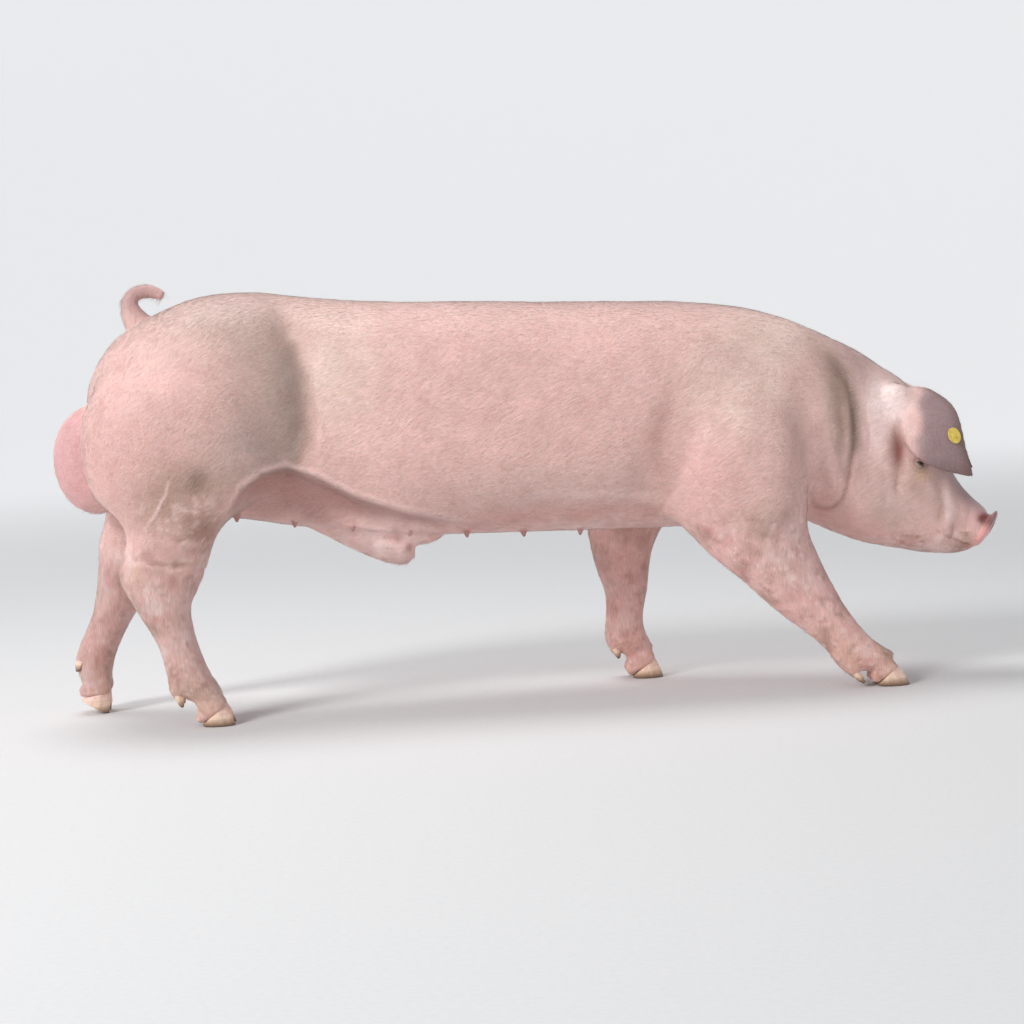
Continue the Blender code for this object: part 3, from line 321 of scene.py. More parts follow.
def skin_rings(bm, rings):
    """Close a row of rings of points into one body of triangles, and face it outward."""
    made = [[bm.verts.new(point) for point in ring] for ring in rings]
    faces = []
    for first, second in zip(made, made[1:]):
        for a in range(len(first)):
            b = (a + 1) % len(first)
            faces.append(bm.faces.new((first[a], first[b], second[b], second[a])))
    faces.append(bm.faces.new(made[0][::-1]))
    faces.append(bm.faces.new(made[-1]))
    bmesh.ops.recalc_face_normals(bm, faces=faces)
    bmesh.ops.triangulate(bm, faces=faces, quad_method="FIXED")


def circle(sides):
    """Even angles all round."""
    return np.linspace(0.0, 2.0 * math.pi, sides, endpoint=False)


def oval(low, high, half_width, share, power):
    """One section: from the low point to the high one, widest at a share of the way up."""
    angles = circle(RING)
    across, upward = np.cos(angles), np.sin(angles)
    across = np.sign(across) * np.abs(across) ** (2.0 / power)
    upward = np.sign(upward) * np.abs(upward) ** (2.0 / power)
    level = np.where(upward > 0.0, share + (1.0 - share) * upward, share * (1.0 + upward))
    points = low[None, :] + (high - low)[None, :] * level[:, None]
    points[:, 1] += half_width * across
    return points


def side_row(points, side):
    """The named points of one side, with y turned to that side."""
    return [(row[0], row[1] * side, row[2]) for row in points]


def add_trunk(bm):
    """Trunk and neck in one loft."""
    rings = []
    for x, top, bottom, half, share in flow(TRUNK, 0.02):
        rings.append(oval(np.array([x, 0.0, bottom]), np.array([x, 0.0, top]), half, share, 2.25))
    skin_rings(bm, rings)


def add_head(bm):
    """Skull, cheeks and snout, without the disc."""
    rings = []
    for low_x, low_z, high_x, high_z, half, share in flow(HEAD, 0.01):
        low, high = np.array([low_x, 0.0, low_z]), np.array([high_x, 0.0, high_z])
        rings.append(oval(low, high, half, share, 2.3))
    skin_rings(bm, rings)


def add_limb(bm, stations, side):
    """One leg down to the pastern, a little too thick, as softening thins it."""
    rings = []
    for rear_x, rear_z, front_x, front_z, y, half in flow(stations, 0.012):
        rear, front = np.array([rear_x, y * side, rear_z]), np.array([front_x, y * side, front_z])
        spare = LIMB_SPARE * (front - rear) / np.linalg.norm(front - rear)
        rings.append(oval(rear - spare, front + spare, half + LIMB_SPARE, 0.5, 2.1))
    skin_rings(bm, rings)


def add_tube(bm, points, step=0.006, sides=20):
    """A round tube through rows of x, y, z and radius."""
    rows = flow(points, step)
    rings = []
    for index, row in enumerate(rows):
        before, after = rows[max(index - 1, 0), :3], rows[min(index + 1, len(rows) - 1), :3]
        turn = Vector(after - before).to_track_quat("Z", "X").to_matrix()
        ring = []
        for angle in circle(sides):
            ring.append(Vector(row[:3]) + turn @ Vector((math.cos(angle), math.sin(angle), 0)) * row[3])
        rings.append(ring)
    skin_rings(bm, rings)


def add_ball(bm, centre, half_lengths, turn=Matrix.Identity(3), detail=4):
    """An oval body, facing outward."""
    place = Matrix.Translation(centre) @ turn.to_4x4() @ Matrix.Diagonal((*half_lengths, 1.0))
    bmesh.ops.create_icosphere(bm, subdivisions=detail, radius=1.0, matrix=place)


def ear_rows(side):
    """Rear edge, middle and front edge of one ear, root to tip, and the outward direction."""
    rear = flow(side_row(EAR_REAR, side), 0.004)
    count = len(rear)
    front = [(x + ahead, y, z) for (x, y, z), ahead in zip(EAR_FRONT, EAR_AHEAD[side])]
    front = flow(side_row(front, side), 0.001)
    front = front[np.linspace(0, len(front) - 1, count).round().astype(int)]
    middle = 0.5 * (rear + front)
    outward = np.cross(front - rear, np.gradient(middle, axis=0))
    outward /= np.linalg.norm(outward, axis=1)[:, None]
    outward *= np.sign(outward[:, 1] * side)[:, None]
    return rear, middle, front, outward


def ear_bow(along, edge):
    """How far the leaf bows out, at a share of its length and from -1 to 1 across it."""
    return EAR_BOW * math.sin(math.pi * min(1.0, along * 1.1)) * (1.0 - edge**2)


def add_ear(bm, side):
    """A bowed leaf, thicker at its root."""
    rear, middle, front, outward = ear_rows(side)
    angles = circle(RING)
    edge = np.sign(np.cos(angles)) * np.abs(np.cos(angles)) ** 0.8
    flat = np.sign(np.sin(angles)) * np.abs(np.sin(angles)) ** 0.45
    rings = []
    for index, along in enumerate(np.linspace(0.0, 1.0, len(rear))):
        thick = EAR_HALF_THICK * (1.0 + 1.3 * (1.0 - smoothstep(0.0, 0.35, along)))
        bow = ear_bow(along, edge)
        width = 0.5 * (front[index] - rear[index])
        lift = (flat * thick + bow)[:, None] * outward[index][None, :]
        rings.append(middle[index][None, :] + edge[:, None] * width[None, :] + lift)
    skin_rings(bm, rings)


def foot_side(name):
    """-1 for a right foot, 1 for a left one."""
    return SIDES[name.split("_")[1]]


def foot_matrix(name, inner):
    """Places one toe of a foot: X towards the toes, Z up, and the toe tip at the origin."""
    toe_x, out, pitch = FEET[name][:3]
    sink = TIPTOE_SINK if pitch else 0.0
    place = Matrix.Translation((toe_x, out * foot_side(name), -sink))
    place = place @ Matrix.Rotation(math.radians(pitch), 4, "Y")
    place = place @ Matrix.Translation((0.0, inner * CLAW_APART, 0.0))
    return place @ Matrix.Rotation(inner * CLAW_SPLAY, 4, "Z")


def claw_rings(lean):
    """Rings of one claw from the sole to the coronet, in the toe's own frame."""
    angles = circle(10)
    forward, across = np.cos(angles), np.sin(angles)
    across = across * (1.0 - 0.36 * np.clip(forward, 0.0, 1.0) ** 2)
    rings = []
    for level in np.linspace(0.0, 1.0, 3):
        toe = -lean * level**1.25
        heel = -CLAW_LENGTH - 0.003 * math.sin(math.pi * level) + 0.008 * level
        half_length = 0.5 * (toe - heel)
        bulge = 1.0 + 0.05 * math.sin(math.pi * level) - 0.12 * level**2
        if level == 0.0:
            half_length, bulge = half_length - 0.002, bulge - 0.08
        ring = np.empty((len(angles), 3))
        ring[:, 0] = 0.5 * (toe + heel) + half_length * forward
        ring[:, 1] = CLAW_HALF_WIDTH * bulge * across
        ring[:, 2] = CLAW_HEIGHT * (0.64 + 0.36 * forward) * level
        rings.append(ring)
    return rings


def add_claw(bm, name, inner):
    """One main claw of a foot; inner is -1 or 1 for the two sides of the cleft."""
    place = foot_matrix(name, inner)
    rings = []
    for ring in claw_rings(FEET[name][3]):
        rings.append([place @ Vector(point) for point in ring])
    skin_rings(bm, rings)


def dewclaw_line(name, inner):
    """Where a dewclaw starts and ends."""
    base, tip = FEET[name][5:7]
    y = FEET[name][1] * foot_side(name)
    start = Vector((base[0], y + inner * (DEWCLAW_APART - 0.004), base[1]))
    end = Vector((tip[0], y + inner * (DEWCLAW_APART + 0.003), tip[1]))
    return start, end


def add_dewclaw(bm, name, inner):
    """A blunt cone, a little flattened."""
    start, end = dewclaw_line(name, inner)
    way = end - start
    turn = way.to_track_quat("Z", "Y").to_matrix()
    rings = []
    for along, radius in ((0.42, 0.0128), (0.78, 0.0108), (1.0, 0.0042)):
        centre = start + way * along
        ring = []
        for angle in circle(7):
            point = Vector((math.cos(angle), math.sin(angle) * 0.78, 0.0)) * radius
            ring.append(centre + turn @ point)
        rings.append(ring)
    skin_rings(bm, rings)


def add_toes(bm, name):
    """The flesh of a foot: two toes over the claws, the heel bulbs and the dewclaw roots."""
    lean, pastern = FEET[name][3:5]
    for inner in (-1.0, 1.0):
        place = foot_matrix(name, inner)
        rings = []
        for rear_x, rear_z, front_x, front_z, half in flow(TOE, 0.006):
            rear_x -= pastern * max(0.0, rear_z - 0.030)
            front_x -= lean + pastern * max(0.0, front_z - 0.046)
            inward = -inner * 0.10 * max(0.0, rear_z - 0.020)
            rear, front = np.array([rear_x, inward, rear_z]), np.array([front_x, inward, front_z])
            ring = oval(rear, front, half, 0.5, 2.3)
            rings.append([place @ Vector(point) for point in ring])
        skin_rings(bm, rings)
        heel = place @ Vector((-CLAW_LENGTH - 0.002, 0.0, 0.022))
        add_ball(bm, heel, (0.014, 0.0175, 0.016), place.to_3x3(), 3)
        start, end = dewclaw_line(name, inner)
        way = end - start
        stub = [(*(start - way * 0.45), 0.013), (*(start + way * 0.1), 0.0155)]
        stub += [(*(start + way * 0.45), 0.0148), (*(start + way * 0.60), 0.0125)]
        add_tube(bm, stub, 0.006, 14)


def add_teats(bm, body):
    """Two staggered rows of teats, each set on the belly straight under its own place."""
    tree = BVHTree.FromPolygons([v.co for v in body.vertices], [p.vertices for p in body.polygons])
    for row, side in SIDES.items():
        for index in range(TEAT_PAIRS):
            x = TEAT_FIRST[row] + index * TEAT_STEP
            root = tree.ray_cast(Vector((x, side * TEAT_OUT, 0.0)), Vector((0.0, 0.0, 1.0)))[0]
            way = Vector((0.0, side * 0.25, -1.0)).normalized()
            line = [(*(root - way * 0.012), TEAT_RADIUS * 1.8), (*root, TEAT_RADIUS * 1.25)]
            line += [(*(root + way * 0.5 * TEAT_LENGTH), TEAT_RADIUS)]
            line += [(*(root + way * TEAT_LENGTH), TEAT_RADIUS * 0.75)]
            add_tube(bm, line, 0.004, 12)


def object_from(bm, name):
    """Turn a bmesh into an object of the scene."""
    mesh = bpy.data.meshes.new(name)
    bm.to_mesh(mesh)
    bm.free()
    thing = bpy.data.objects.new(name, mesh)
    bpy.context.scene.collection.objects.link(thing)
    return thing


def bake(thing):
    """Replace an object's mesh with the result of its modifiers."""
    graph = bpy.context.evaluated_depsgraph_get()
    mesh = bpy.data.meshes.new_from_object(thing.evaluated_get(graph))
    thing.modifiers.clear()
    old, thing.data = thing.data, mesh
    bpy.data.meshes.remove(old)
    return thing


def fuse(bm, name, voxel):
    """Melt overlapping closed bodies into one, by a voxel remesh."""
    thing = object_from(bm, name)
    remesh = thing.modifiers.new("Fuse", "REMESH")
    remesh.mode, remesh.voxel_size, remesh.adaptivity = "VOXEL", voxel, 0.0
    return bake(thing)


def points_of(thing):
    flat = np.empty(len(thing.data.vertices) * 3)
    thing.data.vertices.foreach_get("co", flat)
    return flat.reshape(-1, 3)


def set_points(thing, points):
    thing.data.vertices.foreach_set("co", points.reshape(-1))
    thing.data.update()


def soften(thing, weight, rounds):
    """Even out the surface, each point by its own weight."""
    flat = np.empty(len(thing.data.edges) * 2, np.int32)
    thing.data.edges.foreach_get("vertices", flat)
    ends = flat.reshape(-1, 2)
    points = points_of(thing)
    count = len(points)
    both = np.concatenate([ends[:, 0], ends[:, 1]])
    other = np.concatenate([ends[:, 1], ends[:, 0]])
    degree = np.bincount(both, minlength=count)[:, None]
    weight = np.broadcast_to(weight, (count,))[:, None]
    for _ in range(rounds):
        total = np.stack([np.bincount(both, points[other, k], count) for k in range(3)], axis=1)
        points = points + weight * (total / degree - points)
    set_points(thing, points)


def outward_of(thing):
    flat = np.empty(len(thing.data.vertices) * 3)
    thing.data.vertices.foreach_get("normal", flat)
    return flat.reshape(-1, 3)


def shape_forms(thing):
    """Raise the muscles and press the hollows of both sides, then cut the flank fold back."""
    points, outward = points_of(thing), outward_of(thing)
    mirrored = points * (1.0, -1.0, 1.0)
    move = np.zeros(len(points))
    for centre, half_lengths, amount in FORMS:
        for place in (points, mirrored):
            away = np.linalg.norm((place - np.array(centre)) / np.array(half_lengths), axis=1)
            move += amount * np.exp(-(away**2))
    points = points + outward * move[:, None]

    x, y, z = points.T
    fold = np.array(FLANK_FOLD)
    below = np.interp(x, fold[:, 0], fold[:, 1]) - z
    depth = smoothstep(0.0, 0.030, below) * (1.0 - 0.75 * smoothstep(0.05, 0.15, below))
    depth *= smoothstep(-0.640, -0.590, x) * (1.0 - smoothstep(-0.32, -0.02, x))
    depth *= smoothstep(0.060, 0.110, np.abs(y))
    points[:, 1] -= np.sign(y) * FOLD_DEPTH * depth
    set_points(thing, points)


def add_masses():
    """Trunk, head and limbs as one body, with the joints between them softened."""
    bm = bmesh.new()
    add_trunk(bm)
    add_head(bm)
    for name, stations in LIMBS.items():
        add_limb(bm, stations, foot_side(name))
    masses = fuse(bm, "masses", MASS_VOXEL)
    points = points_of(masses)
    high = smoothstep(0.30, 0.46, points[:, 2])
    head = smoothstep(0.86, 0.95, points[:, 0])
    soften(masses, 0.5 * high * (1.0 - 0.85 * head) + 0.02, 34)
    shape_forms(masses)
    soften(masses, 0.3, 2)
    return masses


def add_flesh():
    """All the flesh as one body: masses, teats, ears, testes, disc, tail, sheath and feet."""
    masses = add_masses()
    bm = bmesh.new()
    bm.from_mesh(masses.data)
    add_teats(bm, masses.data)
    bpy.data.objects.remove(masses)
    for side in SIDES.values():
        add_ear(bm, side)
        for centre, half_lengths in EAR_ROOT:
            add_ball(bm, side_row([centre], side)[0], half_lengths)
        add_ball(bm, side_row([TESTIS_CENTRE], side)[0], TESTIS_SIZE)
    disc = Matrix.Rotation(DISC_TILT, 3, "Y")
    add_ball(bm, DISC_CENTRE, (DISC_HALF_DEPTH, DISC_HALF_WIDTH, DISC_HALF_HEIGHT), disc)
    add_tube(bm, TAIL)
    add_tube(bm, SHEATH)
    add_ball(bm, SHEATH_WEB, SHEATH_WEB_SIZE)
    for name in FEET:
        add_toes(bm, name)
    flesh = fuse(bm, "flesh", FINE_VOXEL)
    points = points_of(flesh)
    ears = smoothstep(0.86, 0.92, points[:, 0]) * smoothstep(0.43, 0.47, points[:, 2])
    rear = smoothstep(-0.86, -0.92, points[:, 0]) * smoothstep(0.42, 0.47, points[:, 2])
    feet = smoothstep(0.17, 0.13, points[:, 2])
    soften(flesh, 0.4, 6)
    soften(flesh, 0.5 * np.maximum.reduce([ears, rear, feet]), 12)
    return flesh


def neck_line(where):
    """How far ahead and aside the bent neck is at a distance along the straight body, and its heading."""
    steps = np.linspace(-1.2, 1.4, 2601)
    heading = HEAD_TURN * smoothstep(BEND_FROM, BEND_TO, steps)
    ahead = np.concatenate([[0.0], np.cumsum(np.cos(heading[1:]) * np.diff(steps))]) + steps[0]
    aside = np.concatenate([[0.0], np.cumsum(-np.sin(heading[1:]) * np.diff(steps))])
    return tuple(np.interp(where, steps, line) for line in (ahead, aside, heading))


def turn_head(points):
    """Bend the neck: what lies past BEND_FROM turns towards the boar's right."""
    ahead, aside, heading = neck_line(points[:, 0])
    bent = points.copy()
    bent[:, 0] = ahead + points[:, 1] * np.sin(heading)
    bent[:, 1] = aside + points[:, 1] * np.cos(heading)
    above = smoothstep(*LEG_TO_THROAT, points[:, 2])[:, None]
    return points + above * (bent - points)


def neck_frame(where):
    """The same bend as one stiff move, right at one distance along the body."""
    ahead, aside, heading = neck_line(where)
    turn = Matrix.Rotation(-heading, 4, "Z")
    return Matrix.Translation((ahead, aside, 0.0)) @ turn @ Matrix.Translation((-where, 0.0, 0.0))


def tag_matrix():
    """Places the tag on the right ear, in the straight body's frame: Z out of the ear."""
    rear, _, front, outward = ear_rows(SIDES["right"])
    along, over = TAG_PLACE
    index = int(along * (len(rear) - 1))
    edge = 2.0 * over - 1.0
    centre = rear[index] + over * (front[index] - rear[index])
    centre = centre + ear_bow(along, edge) * outward[index]
    width = Vector(front[index] - rear[index])
    out = (Vector(outward[index]) + TAG_TURN * width.normalized()).normalized()
    down = Vector((0.0, 0.0, -1.0))
    down = (down - out * down.dot(out)).normalized()
    turn = Matrix((down.cross(out), down, out)).transposed()
    return Matrix.Translation(centre) @ turn.to_4x4()


# ---- from the straight body to the frame --------------------------------------------------
def box_of(points):
    """Lowest and highest corner."""
    return np.array([np.min(points, axis=0), np.max(points, axis=0)])


def frame_shift():
    """How far the frame's origin is from the straight body's, read off one foreleg's claw."""
    bm = bmesh.new()
    add_claw(bm, "fore_right", -1.0)
    own = box_of([vert.co for vert in bm.verts])
    bm.free()
    return own.mean(axis=0) - box_of(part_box("claw_fore_right_a")).mean(axis=0)


SHIFT = frame_shift()


def place(points):
    """Points of the straight body, bent and moved to where the frame has them."""
    return turn_head(np.asarray(points, float)) - SHIFT


def straight_head(point):
    """A point of the frame's head, on the straight body."""
    return neck_frame(1.0).inverted() @ (Vector(point) + Vector(SHIFT))


EYES = {}
for side_name in SIDES:
    low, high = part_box(f"eye_{side_name}")
    EYES[side_name] = straight_head((low + high) / 2)


# ---- noise and distances ------------------------------------------------------------------
LATTICE = 64


def noise(points, size, seed):
    """Smooth random values from -1 to 1, with features about one size across."""
    table = np.random.default_rng(seed).uniform(-1.0, 1.0, (LATTICE, LATTICE, LATTICE))
    scaled = np.asarray(points) / size + 1000.0
    cell = np.floor(scaled).astype(int)
    part = scaled - cell
    part = part * part * (3.0 - 2.0 * part)
    total = 0.0
    for corner in range(8):
        step = np.array([corner & 1, (corner >> 1) & 1, (corner >> 2) & 1])
        index = (cell + step) % LATTICE
        share = np.prod(np.where(step, part, 1.0 - part), axis=1)
        total = total + share * table[index[:, 0], index[:, 1], index[:, 2]]
    return total


def blob(points, centre, half_lengths):
    """A soft patch, 1 in the middle and 0 well outside."""
    away = (np.asarray(points) - np.array(centre)) / np.array(half_lengths)
    return np.exp(-np.sum(away**2, axis=1))


def ridge(value, middle, half_width):
    """1 where a value meets the middle, fading to 0 on both sides."""
    return np.exp(-(((value - middle) / half_width) ** 2))


MIRROR = (1.0, -1.0, 1.0)


def both_sides(points, centre, half_lengths):
    """The same soft patch on each side, as two rows."""
    return np.stack([blob(points, centre, half_lengths), blob(points * MIRROR, centre, half_lengths)])


def line_distance(points, line):
    """Distance in the side view from each point to a line, and the share of its length there."""
    flat = points[:, [0, 2]]
    best, along = np.full(len(flat), 9.0), np.zeros(len(flat))
    line = flow(line, 0.012)
    near = np.all((flat > line.min(axis=0) - 0.06) & (flat < line.max(axis=0) + 0.06), axis=1)
    chosen = np.flatnonzero(near)
    for index, (start, end) in enumerate(zip(line, line[1:])):
        way = end - start
        share = np.clip((flat[chosen] - start) @ way / (way @ way), 0.0, 1.0)
        away = np.linalg.norm(flat[chosen] - start - share[:, None] * way, axis=1)
        closer = away < best[chosen]
        best[chosen[closer]] = away[closer]
        along[chosen[closer]] = (index + share[closer]) / (len(line) - 1)
    return best, along


# ---- the skin's fine forms ----------------------------------------------------------------
# Lines that are both pressed in and painted, as x and z
NECK_LINE = [(0.735, 0.735), (0.775, 0.685), (0.790, 0.610), (0.788, 0.540), (0.768, 0.480)]
THROAT_LINE = [(0.785, 0.530), (0.768, 0.470), (0.742, 0.415), (0.712, 0.398)]
THROAT_LINE += [(0.680, 0.405), (0.668, 0.440)]
SCAR_LINE = [(-0.757, 0.553), (-0.764, 0.522), (-0.779, 0.502), (-0.787, 0.484)]
SCAR_LINE += [(-0.805, 0.462), (-0.814, 0.450)]
# The valley before the ham
VALLEY = [(-0.515, 0.935), (-0.470, 0.830), (-0.455, 0.720), (-0.464, 0.620), (-0.487, 0.570)]
# Creases: half width, depth, the least distance from the middle, and the line as x and z
CREASES = {
    "flank": (0.020, 0.0070, 0.05, VALLEY),
    "shoulder": (0.020, 0.0035, 0.07, [(0.420, 0.700), (0.405, 0.610), (0.385, 0.545), (0.362, 0.488)]),
    "neck": (0.010, 0.0062, 0.05, NECK_LINE),
    "neck_front": (0.007, 0.0022, 0.05, [(0.822, 0.640), (0.832, 0.585), (0.834, 0.520)]),
    "neck_rear": (0.010, 0.0024, 0.05, [(0.742, 0.640), (0.750, 0.570), (0.742, 0.500)]),
    "throat": (0.008, 0.0055, 0.05, THROAT_LINE),
    "ear_root": (0.010, 0.0070, 0.06, [
        (0.895, 0.590), (0.904, 0.550), (0.907, 0.510), (0.903, 0.465), (0.896, 0.410),
    ]),
    "cheek": (0.011, 0.0014, 0.05, [(0.868, 0.500), (0.874, 0.440), (0.866, 0.390)]),
    "armpit": (0.008, 0.0045, 0.07, [(0.652, 0.376), (0.662, 0.420), (0.673, 0.490)]),
    "elbow": (0.012, 0.0035, 0.07, [(0.318, 0.400), (0.333, 0.434), (0.362, 0.488), (0.385, 0.545)]),
    "mouth": (0.0028, 0.0048, 0.0, [
        (1.066, 0.290), (1.040, 0.300), (1.012, 0.314), (0.990, 0.326), (0.976, 0.344),
    ]),
    "tusk_front": (0.004, 0.0016, 0.02, [(1.018, 0.372), (1.024, 0.350), (1.020, 0.326)]),
    "snout_fold": (0.005, 0.0018, 0.01, [(1.056, 0.385), (1.050, 0.360), (1.046, 0.330)]),
    "snout_fold_2": (0.005, 0.0012, 0.02, [(1.036, 0.400), (1.032, 0.380), (1.030, 0.360)]),
    "ham_scar": (0.0035, -0.0020, 0.05, SCAR_LINE),
    "gaskin": (0.006, 0.0030, 0.06, [
        (-0.848, 0.388), (-0.820, 0.372), (-0.790, 0.365), (-0.715, 0.362),
    ]),
    "gaskin_high": (0.008, 0.0022, 0.06, [(-0.780, 0.432), (-0.745, 0.420), (-0.700, 0.425)]),
    "hock_rear": (0.010, 0.0035, 0.05, [
        (-0.846, 0.330), (-0.822, 0.300), (-0.806, 0.250), (-0.792, 0.200),
    ]),
    "knee": (0.009, 0.0022, 0.05, [(0.520, 0.236), (0.548, 0.252), (0.580, 0.262), (0.620, 0.270)]),
    "fore_tendon": (0.012, 0.0030, 0.05, [
        (0.520, 0.330), (0.570, 0.270), (0.620, 0.215), (0.670, 0.170),
    ]),
    "hock_front": (0.006, 0.0030, 0.05, [(-0.722, 0.352), (-0.704, 0.345), (-0.690, 0.350)]),
}
ONE_SIDED = {"ham_scar": "right"}
# Low swellings and dips of both sides: centre, half lengths, height
SWELLINGS = [
    ((1.006, 0.072, 0.366), (0.013, 0.03, 0.020), 0.0080),
    ((1.003, 0.066, 0.405), (0.010, 0.03, 0.026), 0.0026),
    ((1.008, 0.066, 0.384), (0.010, 0.03, 0.016), -0.0016),
    ((0.925, 0.12, 0.565), (0.012, 0.03, 0.030), 0.0030),
    ((0.915, 0.11, 0.610), (0.014, 0.03, 0.022), -0.0020),
    ((0.860, 0.13, 0.600), (0.024, 0.05, 0.050), 0.0040),
    ((-0.560, 0.20, 0.585), (0.060, 0.06, 0.018), 0.0035),
    ((-0.780, 0.22, 0.520), (0.050, 0.06, 0.040), -0.0040),
    ((-0.700, 0.23, 0.560), (0.030, 0.06, 0.030), 0.0030),
    ((-0.905, 0.00, 0.790), (0.020, 0.016, 0.018), -0.0040),
    ((-0.905, 0.00, 0.790), (0.030, 0.026, 0.030), 0.0025),
    ((-0.700, 0.22, 0.800), (0.090, 0.10, 0.060), 0.0035),
    ((0.520, 0.16, 0.820), (0.090, 0.08, 0.060), 0.0040),
    ((0.350, 0.20, 0.600), (0.050, 0.10, 0.120), -0.0030),
    ((0.560, 0.22, 0.420), (0.045, 0.10, 0.060), 0.0045),
    ((0.500, 0.22, 0.560), (0.050, 0.10, 0.080), 0.0030),
    ((-0.560, 0.20, 0.740), (0.040, 0.10, 0.100), -0.0035),
    ((-0.790, 0.20, 0.300), (0.030, 0.10, 0.050), -0.0030),
    ((1.084, 0.036, 0.357), (0.0105, 0.02, 0.0090), -0.0085),
    ((1.012, 0.074, 0.345), (0.007, 0.03, 0.012), -0.0022),
]
EYE_LONG, EYE_TALL = 0.0108, 0.0045  # half lengths of the opening between the lids
LID_THICK = 0.0017
EYE_SLANT = math.radians(32.0)  # the eye's front corner lies lower


def eye_axes(side):
    """Forward along the lids, up across them, and out of the head."""
    out = Vector((0.30, side * 0.93, 0.20)).normalized()
    ahead = Vector((math.cos(EYE_SLANT), 0.0, -math.sin(EYE_SLANT)))
    ahead = (ahead - out * ahead.dot(out)).normalized()
    up = out.cross(ahead) * side * -1.0
    return np.array([ahead, up if up.z > 0 else -up, out])


def shape_lids(points):
    """Two lids over each eyeball, with a fold above and bags below, and a slit between them."""
    points = points.copy()
    for name, side in SIDES.items():
        axes = eye_axes(side)
        local = (points - np.array(EYES[name])) @ axes.T
        u, v, w = local.T
        near = np.flatnonzero((np.hypot(u, v) < 0.034) & (w > -0.012) & (w < 0.013))
        u, v, w = u[near], v[near], w[near]
        ring = np.hypot(u / EYE_LONG, v / EYE_TALL)
        across = np.hypot(u, v)
        ball = np.sqrt(np.clip(EYE_RADIUS**2 - across**2, 0.0, None))
        lid = ball + LID_THICK * (1.0 - 0.4 * smoothstep(1.0, 2.2, ring))
        cover = 1.0 - smoothstep(0.0105, 0.0185, across)
        above = ridge(np.hypot(u / 1.5, v - 0.001), 0.0105, 0.0016)
        below = ridge(np.hypot(u / 1.5, v + 0.003), 0.0140, 0.0018)
        fold = 0.0016 * above * smoothstep(-0.004, 0.004, v)
        fold += 0.0011 * below * smoothstep(0.002, -0.006, v)
        shaped = w + cover * np.maximum(lid - w, 0.0) - fold * (across > 0.006)
        inside = 1.0 - smoothstep(0.90, 1.06, ring)
        shaped = shaped * (1.0 - inside) + inside * (ball - 0.0045)
        local[near, 2] = shaped
        points[near] = np.array(EYES[name]) + local[near] @ axes
    return points


def disc_frame(points):
    """Points in the disc's own frame with X out of it, its turn, and how far from a nostril they lie.

    The last is 0 in the middle of a nostril and 1 at its rim.
    """
    turn = np.array(Matrix.Rotation(DISC_TILT, 3, "Y"))
    local = (points - np.array(DISC_CENTRE)) @ turn
    _, y, z = local.T
    ring = np.hypot((np.abs(y) - NOSTRIL_OUT) / NOSTRIL_WIDTH, (z - NOSTRIL_UP) / NOSTRIL_HEIGHT)
    return local, turn, ring


def shape_nostrils(points):
    """Two deep oval pits in the disc, with a low rim."""
    local, turn, ring = disc_frame(points)
    x, y, z = local.T
    front = (x > -0.004) & (np.hypot(y, z) < 0.06) & (x < 0.03)
    pit = np.clip(1.0 - ring**2, 0.0, 1.0) ** 0.6 * NOSTRIL_DEPTH
    rim = NOSTRIL_RIM * ridge(ring, 1.35, 0.28)
    local[:, 0] += np.where(front, rim - pit, 0.0)
    return np.array(DISC_CENTRE) + local @ turn.T


def shape_creases(points, outward):
    """Press the creases in, with a low swell beside each, and raise the swellings."""
    move = np.zeros(len(points))
    uneven = 0.75 + 0.45 * noise(points, 0.030, 8)
    for name, (half_width, depth, least, line) in CREASES.items():
        away, along = line_distance(points, line)
        ends = smoothstep(0.0, 0.18, along) * (1.0 - smoothstep(0.82, 1.0, along))
        ends = np.maximum(ends, 0.15)
        sides = (SIDES[ONE_SIDED[name]],) if name in ONE_SIDED else SIDES.values()
        for side in sides:
            mask = smoothstep(least - 0.01, least + 0.01, side * points[:, 1]) * uneven
            mask = mask if least else uneven / len(sides)
            press = ridge(away, 0.0, half_width)
            swell = ridge(away, 2.1 * half_width, half_width)
            move -= mask * ends * depth * (press - 0.15 * swell)
    for centre, half_lengths, height in SWELLINGS:
        for share in both_sides(points, centre, half_lengths):
            move += height * share
    return points + outward * move[:, None]


def below_fold(points):
    """How far a point lies under the edge of the flank fold, and 1 along the fold's length."""
    x, y, z = points.T
    fold = np.array(FLANK_FOLD)
    below = np.interp(x, fold[:, 0], fold[:, 1]) - z
    share = smoothstep(-0.650, -0.600, x) * smoothstep(-0.05, -0.22, x)
    return below, share * smoothstep(0.050, 0.090, np.abs(y))


def shape_fold(points):
    """A rolled rim along the flank fold, and the groin set in sharply under it."""
    below, share = below_fold(points)
    rim = ridge(below, -0.006, 0.008)
    step = smoothstep(0.000, 0.012, below) * smoothstep(0.120, 0.040, below)
    points = points.copy()
    points[:, 1] += np.sign(points[:, 1]) * share * (0.0035 * rim - 0.0120 * step)
    return points


